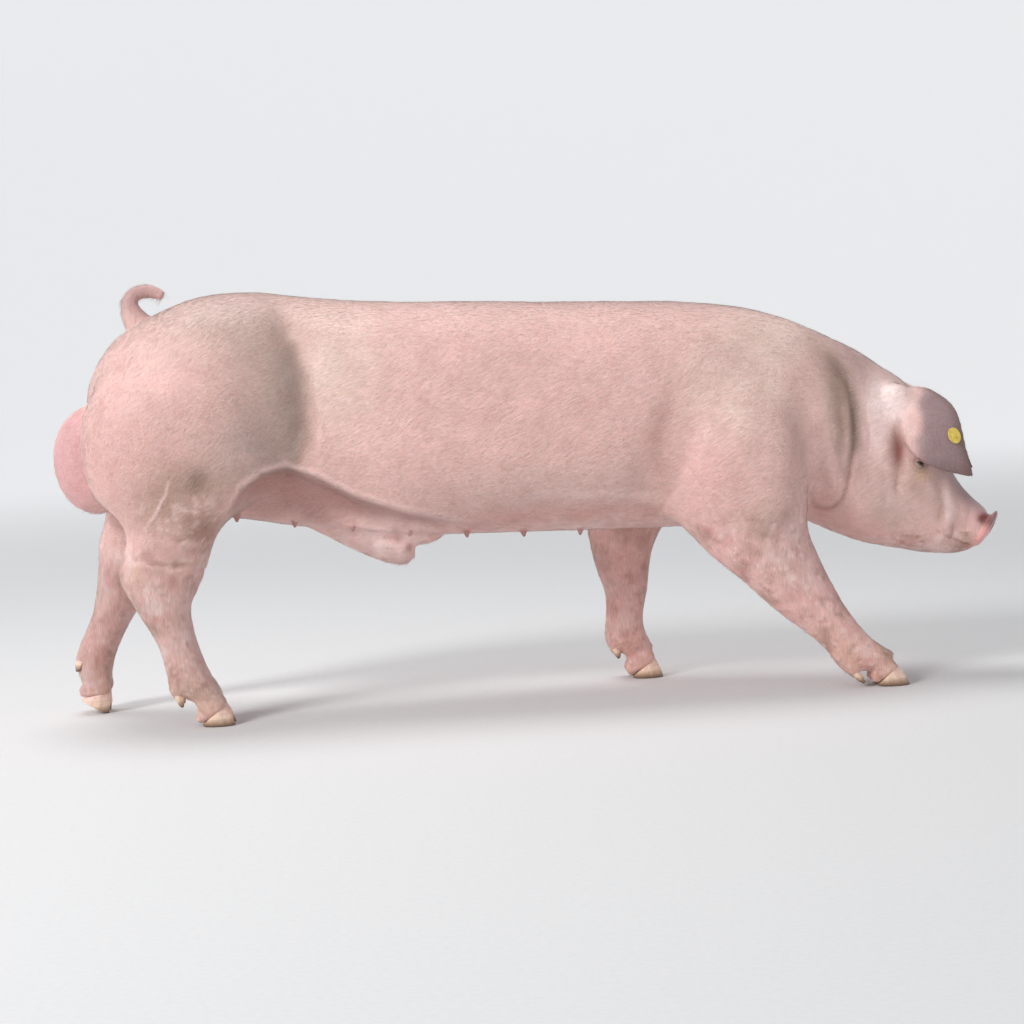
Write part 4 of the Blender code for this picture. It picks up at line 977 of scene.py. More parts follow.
def shape_wrinkles(points, outward):
    """Fine folds where the skin is loose: pasterns, hocks, neck, tail root and scrotum."""
    x, y, z = points.T
    legs = smoothstep(0.32, 0.16, z) * (0.4 + 0.6 * smoothstep(0.16, 0.10, z))
    neck = smoothstep(0.66, 0.76, x) * smoothstep(0.95, 0.86, x) * smoothstep(0.33, 0.40, z)
    rear = smoothstep(-0.90, -0.93, x) * smoothstep(0.44, 0.50, z) * smoothstep(0.75, 0.70, z)
    across = noise(points * (1.0, 1.0, 2.6), 0.022, 3)
    down = noise(points * (2.4, 1.0, 0.6), 0.026, 4)
    lumps = noise(points, 0.075, 5)
    fine = noise(points, 0.009, 6)
    move = 0.0011 * legs * across + 0.0007 * neck * down + 0.0010 * rear * across
    move += 0.0012 * lumps * smoothstep(0.30, 0.45, z) + 0.00025 * fine
    ears = (x > 0.90) & (np.abs(y) > 0.105) & (z > 0.44)
    move[ears] = 0.0004 * across[ears]
    return points + outward * move[:, None]


def halve_edges(thing, chosen, cuts):
    """More points where the forms are finest."""
    bm = bmesh.new()
    bm.from_mesh(thing.data)
    edges = [e for e in bm.edges if chosen[e.verts[0].index] and chosen[e.verts[1].index]]
    bmesh.ops.subdivide_edges(bm, edges=edges, cuts=cuts, use_grid_fill=True)
    bm.to_mesh(thing.data)
    bm.free()


SKIN_DEPTH = 0.0022  # how far the skin lies inside the solids, under the coat
SKIN_BUDGET = {"body": 86000, "head": 58000, "feet": 26000}  # triangles
EAR_SEAM = (0.898, 0.066, 0.640)  # where the ear's root is blended into the head


def eye_near(points, radius):
    """Which points lie within a radius of the middle of either eyeball."""
    near = np.zeros(len(points), bool)
    for centre in EYES.values():
        near |= np.linalg.norm(points - np.array(centre), axis=1) < radius
    return near


def thin_skin(skin):
    """Fewer triangles, region by region, with the lids left as they are."""
    for region, budget in SKIN_BUDGET.items():
        points = points_of(skin)
        x, _, z = points.T
        kept = eye_near(points, 0.036)
        head = (x > 0.86) & (z > 0.25)
        feet = z < 0.20
        chosen = {"head": head, "feet": feet & ~head, "body": ~(head | feet)}[region] & ~kept
        group = skin.vertex_groups.new(name=region)
        group.add(np.flatnonzero(chosen).tolist(), 1.0, "REPLACE")
        skin.data.calc_loop_triangles()
        corners = np.empty(3 * len(skin.data.loop_triangles), np.int32)
        skin.data.loop_triangles.foreach_get("vertices", corners)
        inside = int(chosen[corners.reshape(-1, 3)].all(axis=1).sum())
        total = len(corners) // 3
        decimate = skin.modifiers.new("Thin", "DECIMATE")
        decimate.ratio = min(1.0, (total - inside + budget) / total)
        decimate.vertex_group = region
        bake(skin)
        skin.vertex_groups.clear()


def teat_distance(points):
    """Distance in the plan view from the nearest teat, or a long way off the two rows."""
    x, y, z = points.T
    away = np.full(len(points), 1.0)
    for row, side in SIDES.items():
        index = np.clip(np.round((x - TEAT_FIRST[row]) / TEAT_STEP), 0, TEAT_PAIRS - 1)
        place = TEAT_FIRST[row] + index * TEAT_STEP
        away = np.minimum(away, np.hypot(x - place, y - side * (TEAT_OUT + 0.002)))
    belly = np.interp(x, np.array(TRUNK)[:, 0], np.array(TRUNK)[:, 2])
    return away + smoothstep(0.018, 0.035, z - belly)


def thin_parts(points):
    """1 on what would lose its shape to the coat's depth: feet, teats, ears, tail and snout."""
    x, y, z = points.T
    thin = np.maximum(smoothstep(0.16, 0.08, z), smoothstep(0.020, 0.010, teat_distance(points)))
    ears = smoothstep(0.900, 0.930, x) * smoothstep(0.09, 0.11, np.abs(y)) * smoothstep(0.43, 0.46, z)
    tail = smoothstep(0.915, 0.940, z) * smoothstep(-0.74, -0.78, x)
    return np.maximum.reduce([thin, ears, tail, smoothstep(1.03, 1.07, x)])


def make_skin():
    """The whole skin on the straight body."""
    skin = add_flesh()
    skin.name = "skin"
    x, _, z = points_of(skin).T
    halve_edges(skin, (x > 0.972) & (z < 0.43), 1)
    halve_edges(skin, eye_near(points_of(skin), 0.030), 3)
    points = points_of(skin)
    soften(skin, 0.35 * (eye_near(points, 0.032) | (points[:, 0] > 0.97)), 5)
    roots = both_sides(points, EAR_SEAM, (0.045, 0.05, 0.05)).sum(axis=0)
    soften(skin, 0.6 * np.minimum(roots, 1.0), 60)
    points = points_of(skin)
    depth = SKIN_DEPTH * (1.0 - 0.75 * thin_parts(points))
    set_points(skin, points - outward_of(skin) * depth[:, None])
    points = shape_creases(points_of(skin), outward_of(skin))
    points = shape_wrinkles(points, outward_of(skin))
    points = shape_fold(points)
    points = shape_nostrils(points)
    points = shape_lids(points)
    set_points(skin, points)
    thin_skin(skin)
    return skin


# ---- colours ------------------------------------------------------------------------------
SKIN_PINK = (0.748, 0.472, 0.432)
TINTS = {
    "red": (0.640, 0.300, 0.270),
    "rose": (0.800, 0.450, 0.420),
    "grey": (0.520, 0.400, 0.350),
    "brown": (0.360, 0.230, 0.170),
    "dark": (0.150, 0.075, 0.065),
    "mauve_shade": (0.280, 0.184, 0.192),
    # painted light, for the loin and the shoulder
    "lit_cream": (0.840, 0.640, 0.560),
    # painted shade, for the lop ears, the snout's ridge and the top of the neck
    "ochre": (0.560, 0.370, 0.200),
    "blood": (0.280, 0.045, 0.040),
    "umber": (0.270, 0.110, 0.085),
    "pale": (0.900, 0.660, 0.620),
    "white": (0.960, 0.780, 0.750),
    # painted shade, for the neck fold, the valley before the ham and the ears' front rims
    "deep_shade": (0.170, 0.110, 0.085),
    "shade": (0.430, 0.310, 0.265),
    # painted shade in the groin, under the flank fold
    "groin": (0.350, 0.150, 0.130),
    # painted highlight along the flank fold's rim
    "rim": (0.840, 0.580, 0.540),
    "scrotum": (0.620, 0.330, 0.335),
    "tail": (0.430, 0.255, 0.250),
    "disc": (0.780, 0.360, 0.340),
    # painted shade on the upper half of the snout's disc
    "disc_top_shade": (0.200, 0.080, 0.080),
    "teat": (0.330, 0.130, 0.120),
}
SHIN_DARKER = (0.20, 0.16, 0.17)  # what the hind shins lose of red, green and blue
# Patches on both sides: tint, strength, centre, half lengths
PATCHES = [
    ("rose", 0.50, (-0.860, 0.20, 0.620), (0.13, 0.20, 0.14)),
    ("rose", 0.45, (-0.800, 0.20, 0.350), (0.06, 0.20, 0.05)),
    ("grey", 0.60, (-0.620, 0.16, 0.890), (0.17, 0.20, 0.08)),
    ("dark", 0.95, (-0.700, 0.24, 0.550), (0.036, 0.12, 0.036)),
    # painted shade: the ham darker towards its lower part
    ("brown", 0.30, (-0.780, 0.22, 0.620), (0.16, 0.20, 0.12)),
    # painted shade on the front of the ham, towards the valley and the flank fold
    ("brown", 0.40, (-0.630, 0.20, 0.560), (0.070, 0.12, 0.040)),
    ("grey", 0.50, (-0.600, 0.22, 0.600), (0.080, 0.12, 0.070)),
    ("brown", 0.35, (-0.520, 0.22, 0.650), (0.028, 0.12, 0.080)),
    ("brown", 0.60, (-0.690, 0.20, 0.440), (0.055, 0.12, 0.080)),
    # painted light on the loin, before the valley
    ("lit_cream", 0.70, (-0.380, 0.20, 0.780), (0.10, 0.20, 0.14)),
    ("rose", 0.12, (0.050, 0.20, 0.650), (0.22, 0.20, 0.12)),
    ("grey", 0.35, (0.100, 0.20, 0.480), (0.30, 0.20, 0.07)),
    ("rose", 0.55, (0.420, 0.20, 0.520), (0.10, 0.20, 0.13)),
    # painted light on the shoulder
    ("lit_cream", 0.65, (0.500, 0.20, 0.680), (0.13, 0.20, 0.12)),
    # painted shade on the neck, beside and above its fold
    ("grey", 0.60, (0.740, 0.13, 0.630), (0.038, 0.14, 0.110)),
    ("grey", 0.30, (0.770, 0.15, 0.680), (0.040, 0.14, 0.060)),
    ("grey", 0.50, (0.880, 0.12, 0.400), (0.08, 0.10, 0.09)),
    ("grey", 0.40, (0.980, 0.09, 0.420), (0.04, 0.10, 0.05)),
    # painted shade on the snout's ridge
    ("mauve_shade", 0.50, (1.030, 0.00, 0.445), (0.050, 0.05, 0.060)),
    ("brown", 0.62, (-0.755, 0.20, 0.500), (0.10, 0.20, 0.065)),
    ("grey", 0.45, (-0.760, 0.20, 0.250), (0.07, 0.20, 0.12)),
    ("grey", 0.40, (0.560, 0.20, 0.330), (0.08, 0.20, 0.10)),
    ("brown", 0.40, (0.600, 0.20, 0.285), (0.050, 0.12, 0.060)),
    ("brown", 0.32, (-0.762, 0.22, 0.540), (0.050, 0.12, 0.060)),
    ("rose", 0.45, (0.830, 0.06, 0.310), (0.12, 0.12, 0.03)),
    # painted light on the swelling behind the ear's root
    ("pale", 0.85, (0.860, 0.10, 0.620), (0.040, 0.08, 0.08)),
    ("pale", 0.50, (0.850, 0.12, 0.560), (0.028, 0.08, 0.08)),
    ("brown", 0.20, (-0.780, 0.20, 0.366), (0.070, 0.20, 0.012)),
    ("red", 0.45, (-0.905, 0.00, 0.790), (0.022, 0.018, 0.022)),
    ("ochre", 0.60, (-0.846, 0.20, 0.345), (0.020, 0.20, 0.025)),
    # dark red skin, and painted shade, in the hollow behind the ear
    ("umber", 1.00, (0.902, 0.11, 0.532), (0.020, 0.06, 0.052)),
    ("blood", 0.75, (0.907, 0.11, 0.524), (0.010, 0.05, 0.030)),
    ("pale", 0.60, (0.700, 0.16, 0.240), (0.07, 0.12, 0.06)),
    # painted light on the top of the neck at the ear's root
    ("white", 0.85, (0.882, 0.09, 0.638), (0.055, 0.08, 0.055)),
    # painted highlight on the ear's rolled lobe
    ("pale", 0.45, (0.925, 0.12, 0.560), (0.014, 0.03, 0.040)),
    ("ochre", 0.75, (0.955, 0.11, 0.466), (0.020, 0.04, 0.016)),
    ("brown", 0.30, (0.940, 0.11, 0.440), (0.020, 0.04, 0.030)),
    # painted highlight on the tusk's bulge, and painted shade behind it
    ("pale", 0.75, (1.008, 0.07, 0.372), (0.011, 0.03, 0.022)),
    ("brown", 0.45, (0.986, 0.08, 0.372), (0.010, 0.03, 0.014)),
    ("red", 0.30, (-0.050, 0.00, 0.370), (0.45, 0.12, 0.03)),
    # painted light on the top of the shoulder
    ("lit_cream", 0.80, (0.600, 0.14, 0.800), (0.11, 0.12, 0.08)),
    ("blood", 1.00, (1.084, 0.036, 0.357), (0.0150, 0.03, 0.0125)),
    ("blood", 0.90, (1.084, 0.036, 0.357), (0.0110, 0.03, 0.0095)),
]
# Strokes on both sides: tint, strength, half width, line as x and z
STROKES = [
    # painted shade in the neck fold and down the nape behind it
    ("deep_shade", 0.95, 0.017, NECK_LINE),
    ("brown", 0.72, 0.034, [(0.690, 0.770), (0.735, 0.710), (0.755, 0.620), (0.750, 0.540)]),
    # painted shade in the throat fold
    ("umber", 0.45, 0.006, THROAT_LINE),
    # painted shade on the snout's ridge and behind the tusk's bulge, and a painted highlight on the bulge
    ("mauve_shade", 0.75, 0.025, [(0.990, 0.495), (1.030, 0.440), (1.060, 0.400), (1.110, 0.365)]),
    ("brown", 0.50, 0.008, [(0.985, 0.450), (0.990, 0.410), (0.996, 0.365)]),
    ("pale", 0.80, 0.008, [(1.001, 0.446), (1.007, 0.410), (1.012, 0.370)]),
    ("umber", 0.50, 0.004, [(1.016, 0.350), (1.010, 0.318)]),
    ("brown", 0.50, 0.016, [(0.920, 0.290), (0.980, 0.282), (1.020, 0.284), (1.050, 0.292)]),
    # painted shade in the crease behind the shoulder
    ("umber", 0.35, 0.026, [(0.350, 0.700), (0.318, 0.620), (0.308, 0.560), (0.322, 0.480)]),
    # painted shade in the valley before the ham
    ("brown", 0.92, 0.048, [
        (-0.506, 0.850), (-0.496, 0.780), (-0.490, 0.690), (-0.498, 0.600), (-0.510, 0.560),
    ]),
    ("deep_shade", 0.80, 0.026, [(-0.475, 0.790), (-0.470, 0.700), (-0.484, 0.600), (-0.500, 0.560)]),
    # painted highlight along the side's lower edge, and painted shade on the belly turned under it
    ("pale", 0.45, 0.010, [(0.050, 0.470), (0.200, 0.466), (0.300, 0.455)]),
    ("red", 0.50, 0.022, [(-0.120, 0.420), (0.100, 0.425), (0.290, 0.420)]),
    # painted shade down the front of the shoulder
    ("brown", 0.35, 0.030, [(0.640, 0.700), (0.622, 0.600), (0.612, 0.500), (0.605, 0.430)]),
    # painted shade at the top of the neck, before the ear
    ("mauve_shade", 0.40, 0.026, [(0.775, 0.760), (0.815, 0.715), (0.835, 0.680)]),
    ("pale", 0.60, 0.0028, SCAR_LINE),
    ("umber", 0.55, 0.026, [(-0.700, 0.470), (-0.690, 0.420), (-0.694, 0.375)]),
]


SIDE_BLIND = (1.0, 0.0, 1.0)  # leaves out how far to the side a point lies


def mix(colour, tint, share):
    """Colours with a share of a tint in them."""
    return colour + (np.array(tint) - colour) * np.clip(share, 0.0, 1.0)[:, None]


def paint(colour, marks):
    """Lay tints over a colour one after another; each mark is a tint's name and its shares."""
    for tint, share in marks:
        colour = mix(colour, TINTS[tint], share)
    return colour


def ear_share(points, side):
    """1 on one lop ear, 0 on the head under it."""
    rear, middle, front, _ = ear_rows(side)
    count = len(middle)
    share = np.zeros(len(points))
    x, y, z = points.T
    near = np.flatnonzero((x > 0.88) & (side * y > 0.03) & (z > 0.43))
    for index in range(0, count, 3):
        way = front[index] - rear[index]
        width = np.linalg.norm(way)
        offset = points[near] - middle[index]
        over = np.abs(offset @ way / width) / (0.5 * width + 0.010)
        onward = np.linalg.norm(offset - (offset @ way / width)[:, None] * way / width, axis=1)
        hit = (over < 1.0) & (onward < 0.020 + 0.010 * (index / count))
        share[near[hit]] = np.maximum(share[near[hit]], smoothstep(0.05, 0.30, index / count))
    return share


def both_ears(points):
    return np.maximum(ear_share(points, -1.0), ear_share(points, 1.0))


def scrotum_share(points):
    """1 on the rear of the scrotum."""
    x, _, z = points.T
    return smoothstep(-0.925, -0.955, x) * smoothstep(0.44, 0.48, z) * smoothstep(0.74, 0.70, z)


def listed_marks(points, mottle):
    """The patches and the strokes."""
    uneven = 1.0 + 0.35 * mottle
    for tint, strength, centre, half_lengths in PATCHES:
        share = both_sides(points, centre, half_lengths).max(axis=0)
        yield tint, strength * share * uneven
    for tint, strength, half_width, line in STROKES:
        away, along = line_distance(points, line)
        share = ridge(away, 0.0, half_width) * (0.4 + 0.6 * np.sin(math.pi * along))
        yield tint, strength * share * uneven


def trunk_marks(points, mottle):
    """Painted shade on the ham's front and in the groin under the flank fold, a painted highlight on the
    fold's rim, and the sheath's tip.
    """
    x, _, z = points.T
    levels = np.array(VALLEY[::-1])
    valley = np.interp(z, levels[:, 1], levels[:, 0])
    ham = smoothstep(-0.700, -0.500, x) * smoothstep(0.014, -0.004, x - valley)
    ham *= smoothstep(0.50, 0.60, z) * smoothstep(0.96, 0.80, z)
    below, fold = below_fold(points)
    groin = fold * smoothstep(0.002, 0.014, below) * smoothstep(0.150, 0.090, below) * (z > 0.395)
    tip = np.clip(blob(points, (-0.300, 0.0, 0.375), (0.10, 0.09, 0.050)) * 1.5, 0.0, 1.0)
    return [
        # painted shade on the ham's front
        ("shade", 0.80 * ham * (1.0 + 0.25 * mottle)),
        # painted shade in the recess under the flank fold
        ("groin", 0.66 * groin * (1.0 + 0.3 * mottle)),
        ("pale", 0.90 * tip),
        # painted highlight along the fold's rim
        ("rim", 0.65 * fold * ridge(below, -0.004, 0.006)),
    ]


def leg_marks(points, mottle, fleck, wide):
    """Rosier, mottled and flecked skin on the legs, and up to the stifle."""
    x, y, z = points.T
    lower = smoothstep(0.40, 0.30, z) * (x < 0.86)
    legs = smoothstep(0.46, 0.36, z) * ((x < 0.66) | (z < 0.33))
    stifle = 1.4 * blob(points * SIDE_BLIND, (-0.720, 0.0, 0.455), (0.09, 1.0, 0.07))
    flecked = np.maximum(legs, np.minimum(stifle, 1.0))
    spots = smoothstep(0.18, 0.55, noise(points, 0.012, 15) + 0.3 * mottle)
    specks = smoothstep(0.25, 0.60, noise(points, 0.0085, 16) - 0.3 * mottle)
    return [
        ("rose", 0.45 * lower * (1.0 + 0.5 * wide)),
        ("ochre", 0.30 * smoothstep(0.20, 0.05, z) * (1.0 + 0.7 * mottle)),
        ("brown", 0.50 * smoothstep(0.10, 0.70, mottle + 0.4 * fleck) * legs),
        ("pale", 0.55 * smoothstep(0.15, 0.70, -mottle - 0.5 * fleck) * legs),
        ("red", 0.40 * smoothstep(0.10, 0.60, noise(points, 0.030, 14)) * legs),
        ("umber", 0.32 * spots * flecked),
        ("pale", 0.42 * specks * flecked),
        ("red", 0.25 * smoothstep(0.0, 0.05, y) * lower),
    ]


def ear_marks(points, mottle):
    """Painted shade on the lop ears: mauve, darker at the front rim and low towards the tip; the root is
    left pale.
    """
    x, _, z = points.T
    for side in SIDES.values():
        ear = ear_share(points, side)
        front = ear_rows(side)[2]
        rim = np.interp(-z, -front[:, 2], front[:, 0]) - x
        # painted shade over the ear, its front rim and its lower tip
        yield "mauve_shade", 0.95 * ear * smoothstep(0.937, 0.970, x + 0.010 * mottle)
        yield "deep_shade", 0.55 * ear * smoothstep(0.030, 0.006, rim)
        yield "dark", 0.72 * ear * smoothstep(0.520, 0.455, z)


def opening_marks(points):
    """The disc with painted shade on its top, the nostrils, the teats and the skin round the eyes."""
    local, _, ring = disc_frame(points)
    ahead, across, up = local.T
    away = np.hypot(across, up)
    on_disc = smoothstep(-0.016, -0.004, ahead) * (away < 0.07)
    within = (away < 0.05) & (ahead > -0.03) & (ahead < 0.02)
    yield "disc", 0.85 * on_disc
    # painted shade on the disc's upper half
    yield "disc_top_shade", 0.85 * on_disc * smoothstep(-0.004, 0.022, up)
    yield "blood", 0.95 * smoothstep(1.15, 0.75, ring) * within
    yield "teat", 0.65 * smoothstep(0.012, 0.006, teat_distance(points))
    for centre in EYES.values():
        away = np.linalg.norm(points - np.array(centre), axis=1)
        yield "brown", 0.55 * smoothstep(0.024, 0.014, away)


def colour_of(points):
    """The skin's colour from its place on the straight body, painted shade and painted light included."""
    x, _, z = points.T
    mottle, fleck, wide = noise(points, 0.045, 11), noise(points, 0.014, 12), noise(points, 0.16, 13)
    colour = np.tile(np.array(SKIN_PINK), (len(points), 1))
    colour = paint(colour, listed_marks(points, mottle))
    colour = paint(colour, trunk_marks(points, mottle))
    colour = paint(colour, leg_marks(points, mottle, fleck, wide))
    tail = smoothstep(0.905, 0.940, z) * smoothstep(-0.74, -0.80, x)
    colour = paint(colour, [("scrotum", 0.80 * scrotum_share(points)), ("tail", 0.80 * tail)])
    shin = smoothstep(0.42, 0.28, z) * smoothstep(0.02, 0.08, z) * (x < 0.0)
    colour = colour * (1.0 - shin[:, None] * np.array(SHIN_DARKER))
    colour = paint(colour, ear_marks(points, mottle))
    colour = paint(colour, opening_marks(points))
    colour *= (1.0 + 0.045 * mottle + 0.03 * fleck + 0.05 * wide)[:, None]
    return np.clip(colour, 0.0, 1.0)


def give_colours(thing, colours):
    layer = thing.data.color_attributes.new("tone", "FLOAT_COLOR", "POINT")
    flat = np.ones((len(colours), 4), np.float32)
    flat[:, :3] = colours
    layer.data.foreach_set("color", flat.ravel())


def give_value(thing, name, values):
    layer = thing.data.attributes.new(name, "FLOAT", "POINT")
    layer.data.foreach_set("value", np.asarray(values, np.float32))


# ---- the bristles -------------------------------------------------------------------------
def mesh_object(name, points, triangles):
    """An object straight from arrays of points and triangles."""
    mesh = bpy.data.meshes.new(name)
    mesh.vertices.add(len(points))
    mesh.vertices.foreach_set("co", np.asarray(points, np.float32).ravel())
    mesh.loops.add(3 * len(triangles))
    mesh.loops.foreach_set("vertex_index", np.asarray(triangles, np.int32).ravel())
    mesh.polygons.add(len(triangles))
    mesh.polygons.foreach_set("loop_start", np.arange(0, 3 * len(triangles), 3, dtype=np.int32))
    mesh.update(calc_edges=True)
    thing = bpy.data.objects.new(name, mesh)
    bpy.context.scene.collection.objects.link(thing)
    return thing


def flow_way(points, outward):
    """Which way the bristles lie, along the surface."""
    x, _, z = points.T
    way = np.tile(np.array([-1.0, 0.0, -0.30]), (len(points), 1))
    ham = smoothstep(-0.50, -0.75, x)[:, None]
    way += ham * np.array([0.35, 0.0, -0.75])
    lower = smoothstep(0.42, 0.30, z)[:, None]
    legs = lower * smoothstep(0.86, 0.80, x)[:, None]
    way = way * (1.0 - legs) + legs * np.array([-0.25, 0.0, -1.0])
    head = smoothstep(0.84, 0.96, x)[:, None]
    way = way * (1.0 - head) + head * np.array([-0.85, 0.0, 0.25])
    belly = smoothstep(-0.55, -0.85, outward[:, 2])[:, None]
    way += belly * np.array([-0.2, 0.0, 0.4])
    for side in SIDES.values():
        ear = ear_share(points, side)[:, None]
        middle = ear_rows(side)[1]
        down = middle[-1] - middle[0]
        way = way * (1.0 - ear) + ear * down / np.linalg.norm(down)
    swirl = noise(points, 0.11, 21)[:, None] * 0.35
    way += swirl * np.cross(outward, way)
    way -= outward * np.sum(way * outward, axis=1)[:, None]
    return way / np.maximum(np.linalg.norm(way, axis=1)[:, None], 1e-6)


def hair_density(points, outward):
    """Bristles to the square centimetre: none on the disc, sole, eyes, teats or scrotum's back."""
    x, _, z = points.T
    density = np.full(len(points), 2.6)
    density *= 1.0 + 0.5 * smoothstep(0.80, 0.90, z)
    density *= 1.0 + 0.8 * smoothstep(0.66, 0.80, x)
    density *= 1.0 - 0.75 * smoothstep(0.46, 0.40, z) * smoothstep(-0.2, -0.7, outward[:, 2])
    disc = np.linalg.norm(points - np.array(DISC_CENTRE), axis=1)
    density *= smoothstep(0.058, 0.085, disc)
    density *= ~eye_near(points, 0.0175)
    density *= smoothstep(0.010, 0.018, teat_distance(points))
    density *= 1.0 - 0.9 * scrotum_share(points)
    density *= smoothstep(0.035, 0.060, z)
    return density


def hair_length(points):
    """Shorter on the face and low on the legs, longer on the back's ridge and the chin."""
    x, _, z = points.T
    length = HAIR_LENGTH + 0.003 * smoothstep(0.84, 0.92, z)
    length = length * (1.0 - 0.45 * smoothstep(0.86, 0.98, x))
    length = length * (1.0 - 0.40 * smoothstep(0.30, 0.12, z))
    chin = smoothstep(0.33, 0.29, z) * smoothstep(0.90, 0.96, x)
    return length * (1.0 + 0.9 * chin)


HAIR_RADIUS = 0.00021
HAIR_LIFTS = (0.0, 0.50, 0.62)  # height over the skin at root, middle and tip, of the lift
HAIR_SHARES = (0.0, 0.45, 1.0)
HAIR_TAPER = (1.0, 0.8, 0.0)
HAIR_LENGTH = 0.019  # on the trunk
ROOT_SINK = 0.0006  # how far the roots stand in the skin


def hair_roots(points, triangles, outward, generator):
    """Random places on the skin, as many to each triangle as its area and density ask for."""
    corner = points[triangles]
    cross = np.cross(corner[:, 1] - corner[:, 0], corner[:, 2] - corner[:, 0])
    area = 0.5 * np.linalg.norm(cross, axis=1)
    middle = corner.mean(axis=1)
    normal = outward[triangles].mean(axis=1)
    expected = area * 1e4 * hair_density(middle, normal)
    counts = np.floor(expected + generator.uniform(0.0, 1.0, len(expected))).astype(int)
    chosen = np.repeat(np.arange(len(triangles)), counts)
    first, second = generator.uniform(0.0, 1.0, (2, len(chosen)))
    flip = first + second > 1.0
    first[flip], second[flip] = 1.0 - first[flip], 1.0 - second[flip]
    corner = corner[chosen]
    root = corner[:, 0] + first[:, None] * (corner[:, 1] - corner[:, 0])
    root = root + second[:, None] * (corner[:, 2] - corner[:, 0])
    return root, normal[chosen] / np.linalg.norm(normal[chosen], axis=1)[:, None]


def hair_mesh(root, normal, generator):
    """Tapered three-sided bristles, flat side out, that lie back and lift a little."""
    count = len(root)
    way = flow_way(root, normal)
    length = hair_length(root) * generator.uniform(0.65, 1.25, count)
    side = np.cross(normal, way)
    way = way + side * generator.normal(0.0, 0.16, count)[:, None]
    lift = generator.uniform(0.0007, 0.0021, count) * length / HAIR_LENGTH
    radius = HAIR_RADIUS * generator.uniform(0.8, 1.25, count) * np.sqrt(length / HAIR_LENGTH)
    rings = []
    for share, height, thick in zip(HAIR_SHARES, HAIR_LIFTS, HAIR_TAPER):
        over = lift * height * share**0.5 - ROOT_SINK * (share == 0.0)
        centre = root + way * (length * share)[:, None] + normal * over[:, None]
        if thick:
            for turn in (270.0, 30.0, 150.0):
                across, upward = math.cos(math.radians(turn)), math.sin(math.radians(turn))
                rings.append(centre + (radius * thick)[:, None] * (across * side + upward * normal))
        else:
            rings.append(centre)
    points = np.stack(rings, axis=1)
    pattern = [(0, 2, 1)]
    for a in range(3):
        b = (a + 1) % 3
        pattern += [(a, b, 3 + b), (a, 3 + b, 3 + a), (3 + a, 3 + b, 6)]
    triangles = np.array(pattern)[None] + 7 * np.arange(count)[:, None, None]
    return points, triangles.reshape(-1, 3)


COAT_PIECES = 6
STRAW, STRAW_SHARES = (0.86, 0.80, 0.70), (0.10, 0.50)  # the bristles' own colour, mixed in
TUFT_PATCH = 0.003  # size of one bristle's patch on the coat's map
MAP_TRIANGLES = 6000.0  # about how many the unwrapped copy of the skin keeps


def straw_share(points):
    """How pale the bristles are against the skin: less so on the ears and the snout's ridge, where painted
    shade lies.
    """
    return 1.0 - 0.4 * np.maximum(both_ears(points), smoothstep(1.00, 1.04, points[:, 0]))


class SkinMap:
    """An unwrap of the skin's own shape, looked up by place."""

    def __init__(self, skin):
        proxy = bpy.data.objects.new("proxy", skin.data.copy())
        bpy.context.scene.collection.objects.link(proxy)
        decimate = proxy.modifiers.new("Thin", "DECIMATE")
        decimate.ratio = MAP_TRIANGLES / len(proxy.data.polygons)
        decimate.use_collapse_triangulate = True
        bake(proxy)
        bpy.context.view_layer.objects.active = proxy
        proxy.select_set(True)
        bpy.ops.object.mode_set(mode="EDIT")
        bpy.ops.mesh.select_all(action="SELECT")
        bpy.ops.uv.smart_project(angle_limit=math.radians(66.0), island_margin=0.004)
        bpy.ops.object.mode_set(mode="OBJECT")
        mesh = proxy.data
        self.points = points_of(proxy)
        self.triangles = np.array([polygon.vertices[:] for polygon in mesh.polygons])
        flat = np.empty(2 * len(mesh.loops))
        mesh.uv_layers.active.data.foreach_get("uv", flat)
        self.corners = flat.reshape(-1, 3, 2)
        self.tree = BVHTree.FromPolygons(self.points.tolist(), self.triangles.tolist())
        bpy.data.objects.remove(proxy)

    def at(self, places):
        """The map's place at the nearest point of the unwrapped copy."""
        found = [self.tree.find_nearest(Vector(place)) for place in places]
        index = np.array([hit[2] for hit in found])
        spot = np.array([hit[0] for hit in found])
        a, b, c = (self.points[self.triangles[index, corner]] for corner in range(3))
        ab, ac, ap = b - a, c - a, spot - a
        bb, bc, cc = (np.sum(u * v, axis=1) for u, v in ((ab, ab), (ab, ac), (ac, ac)))
        pb, pc = np.sum(ap * ab, axis=1), np.sum(ap * ac, axis=1)
        whole = bb * cc - bc * bc
        second = (cc * pb - bc * pc) / whole
        third = (bb * pc - bc * pb) / whole
        shares = np.stack([1.0 - second - third, second, third], axis=1)
        return np.sum(self.corners[index] * shares[:, :, None], axis=1)


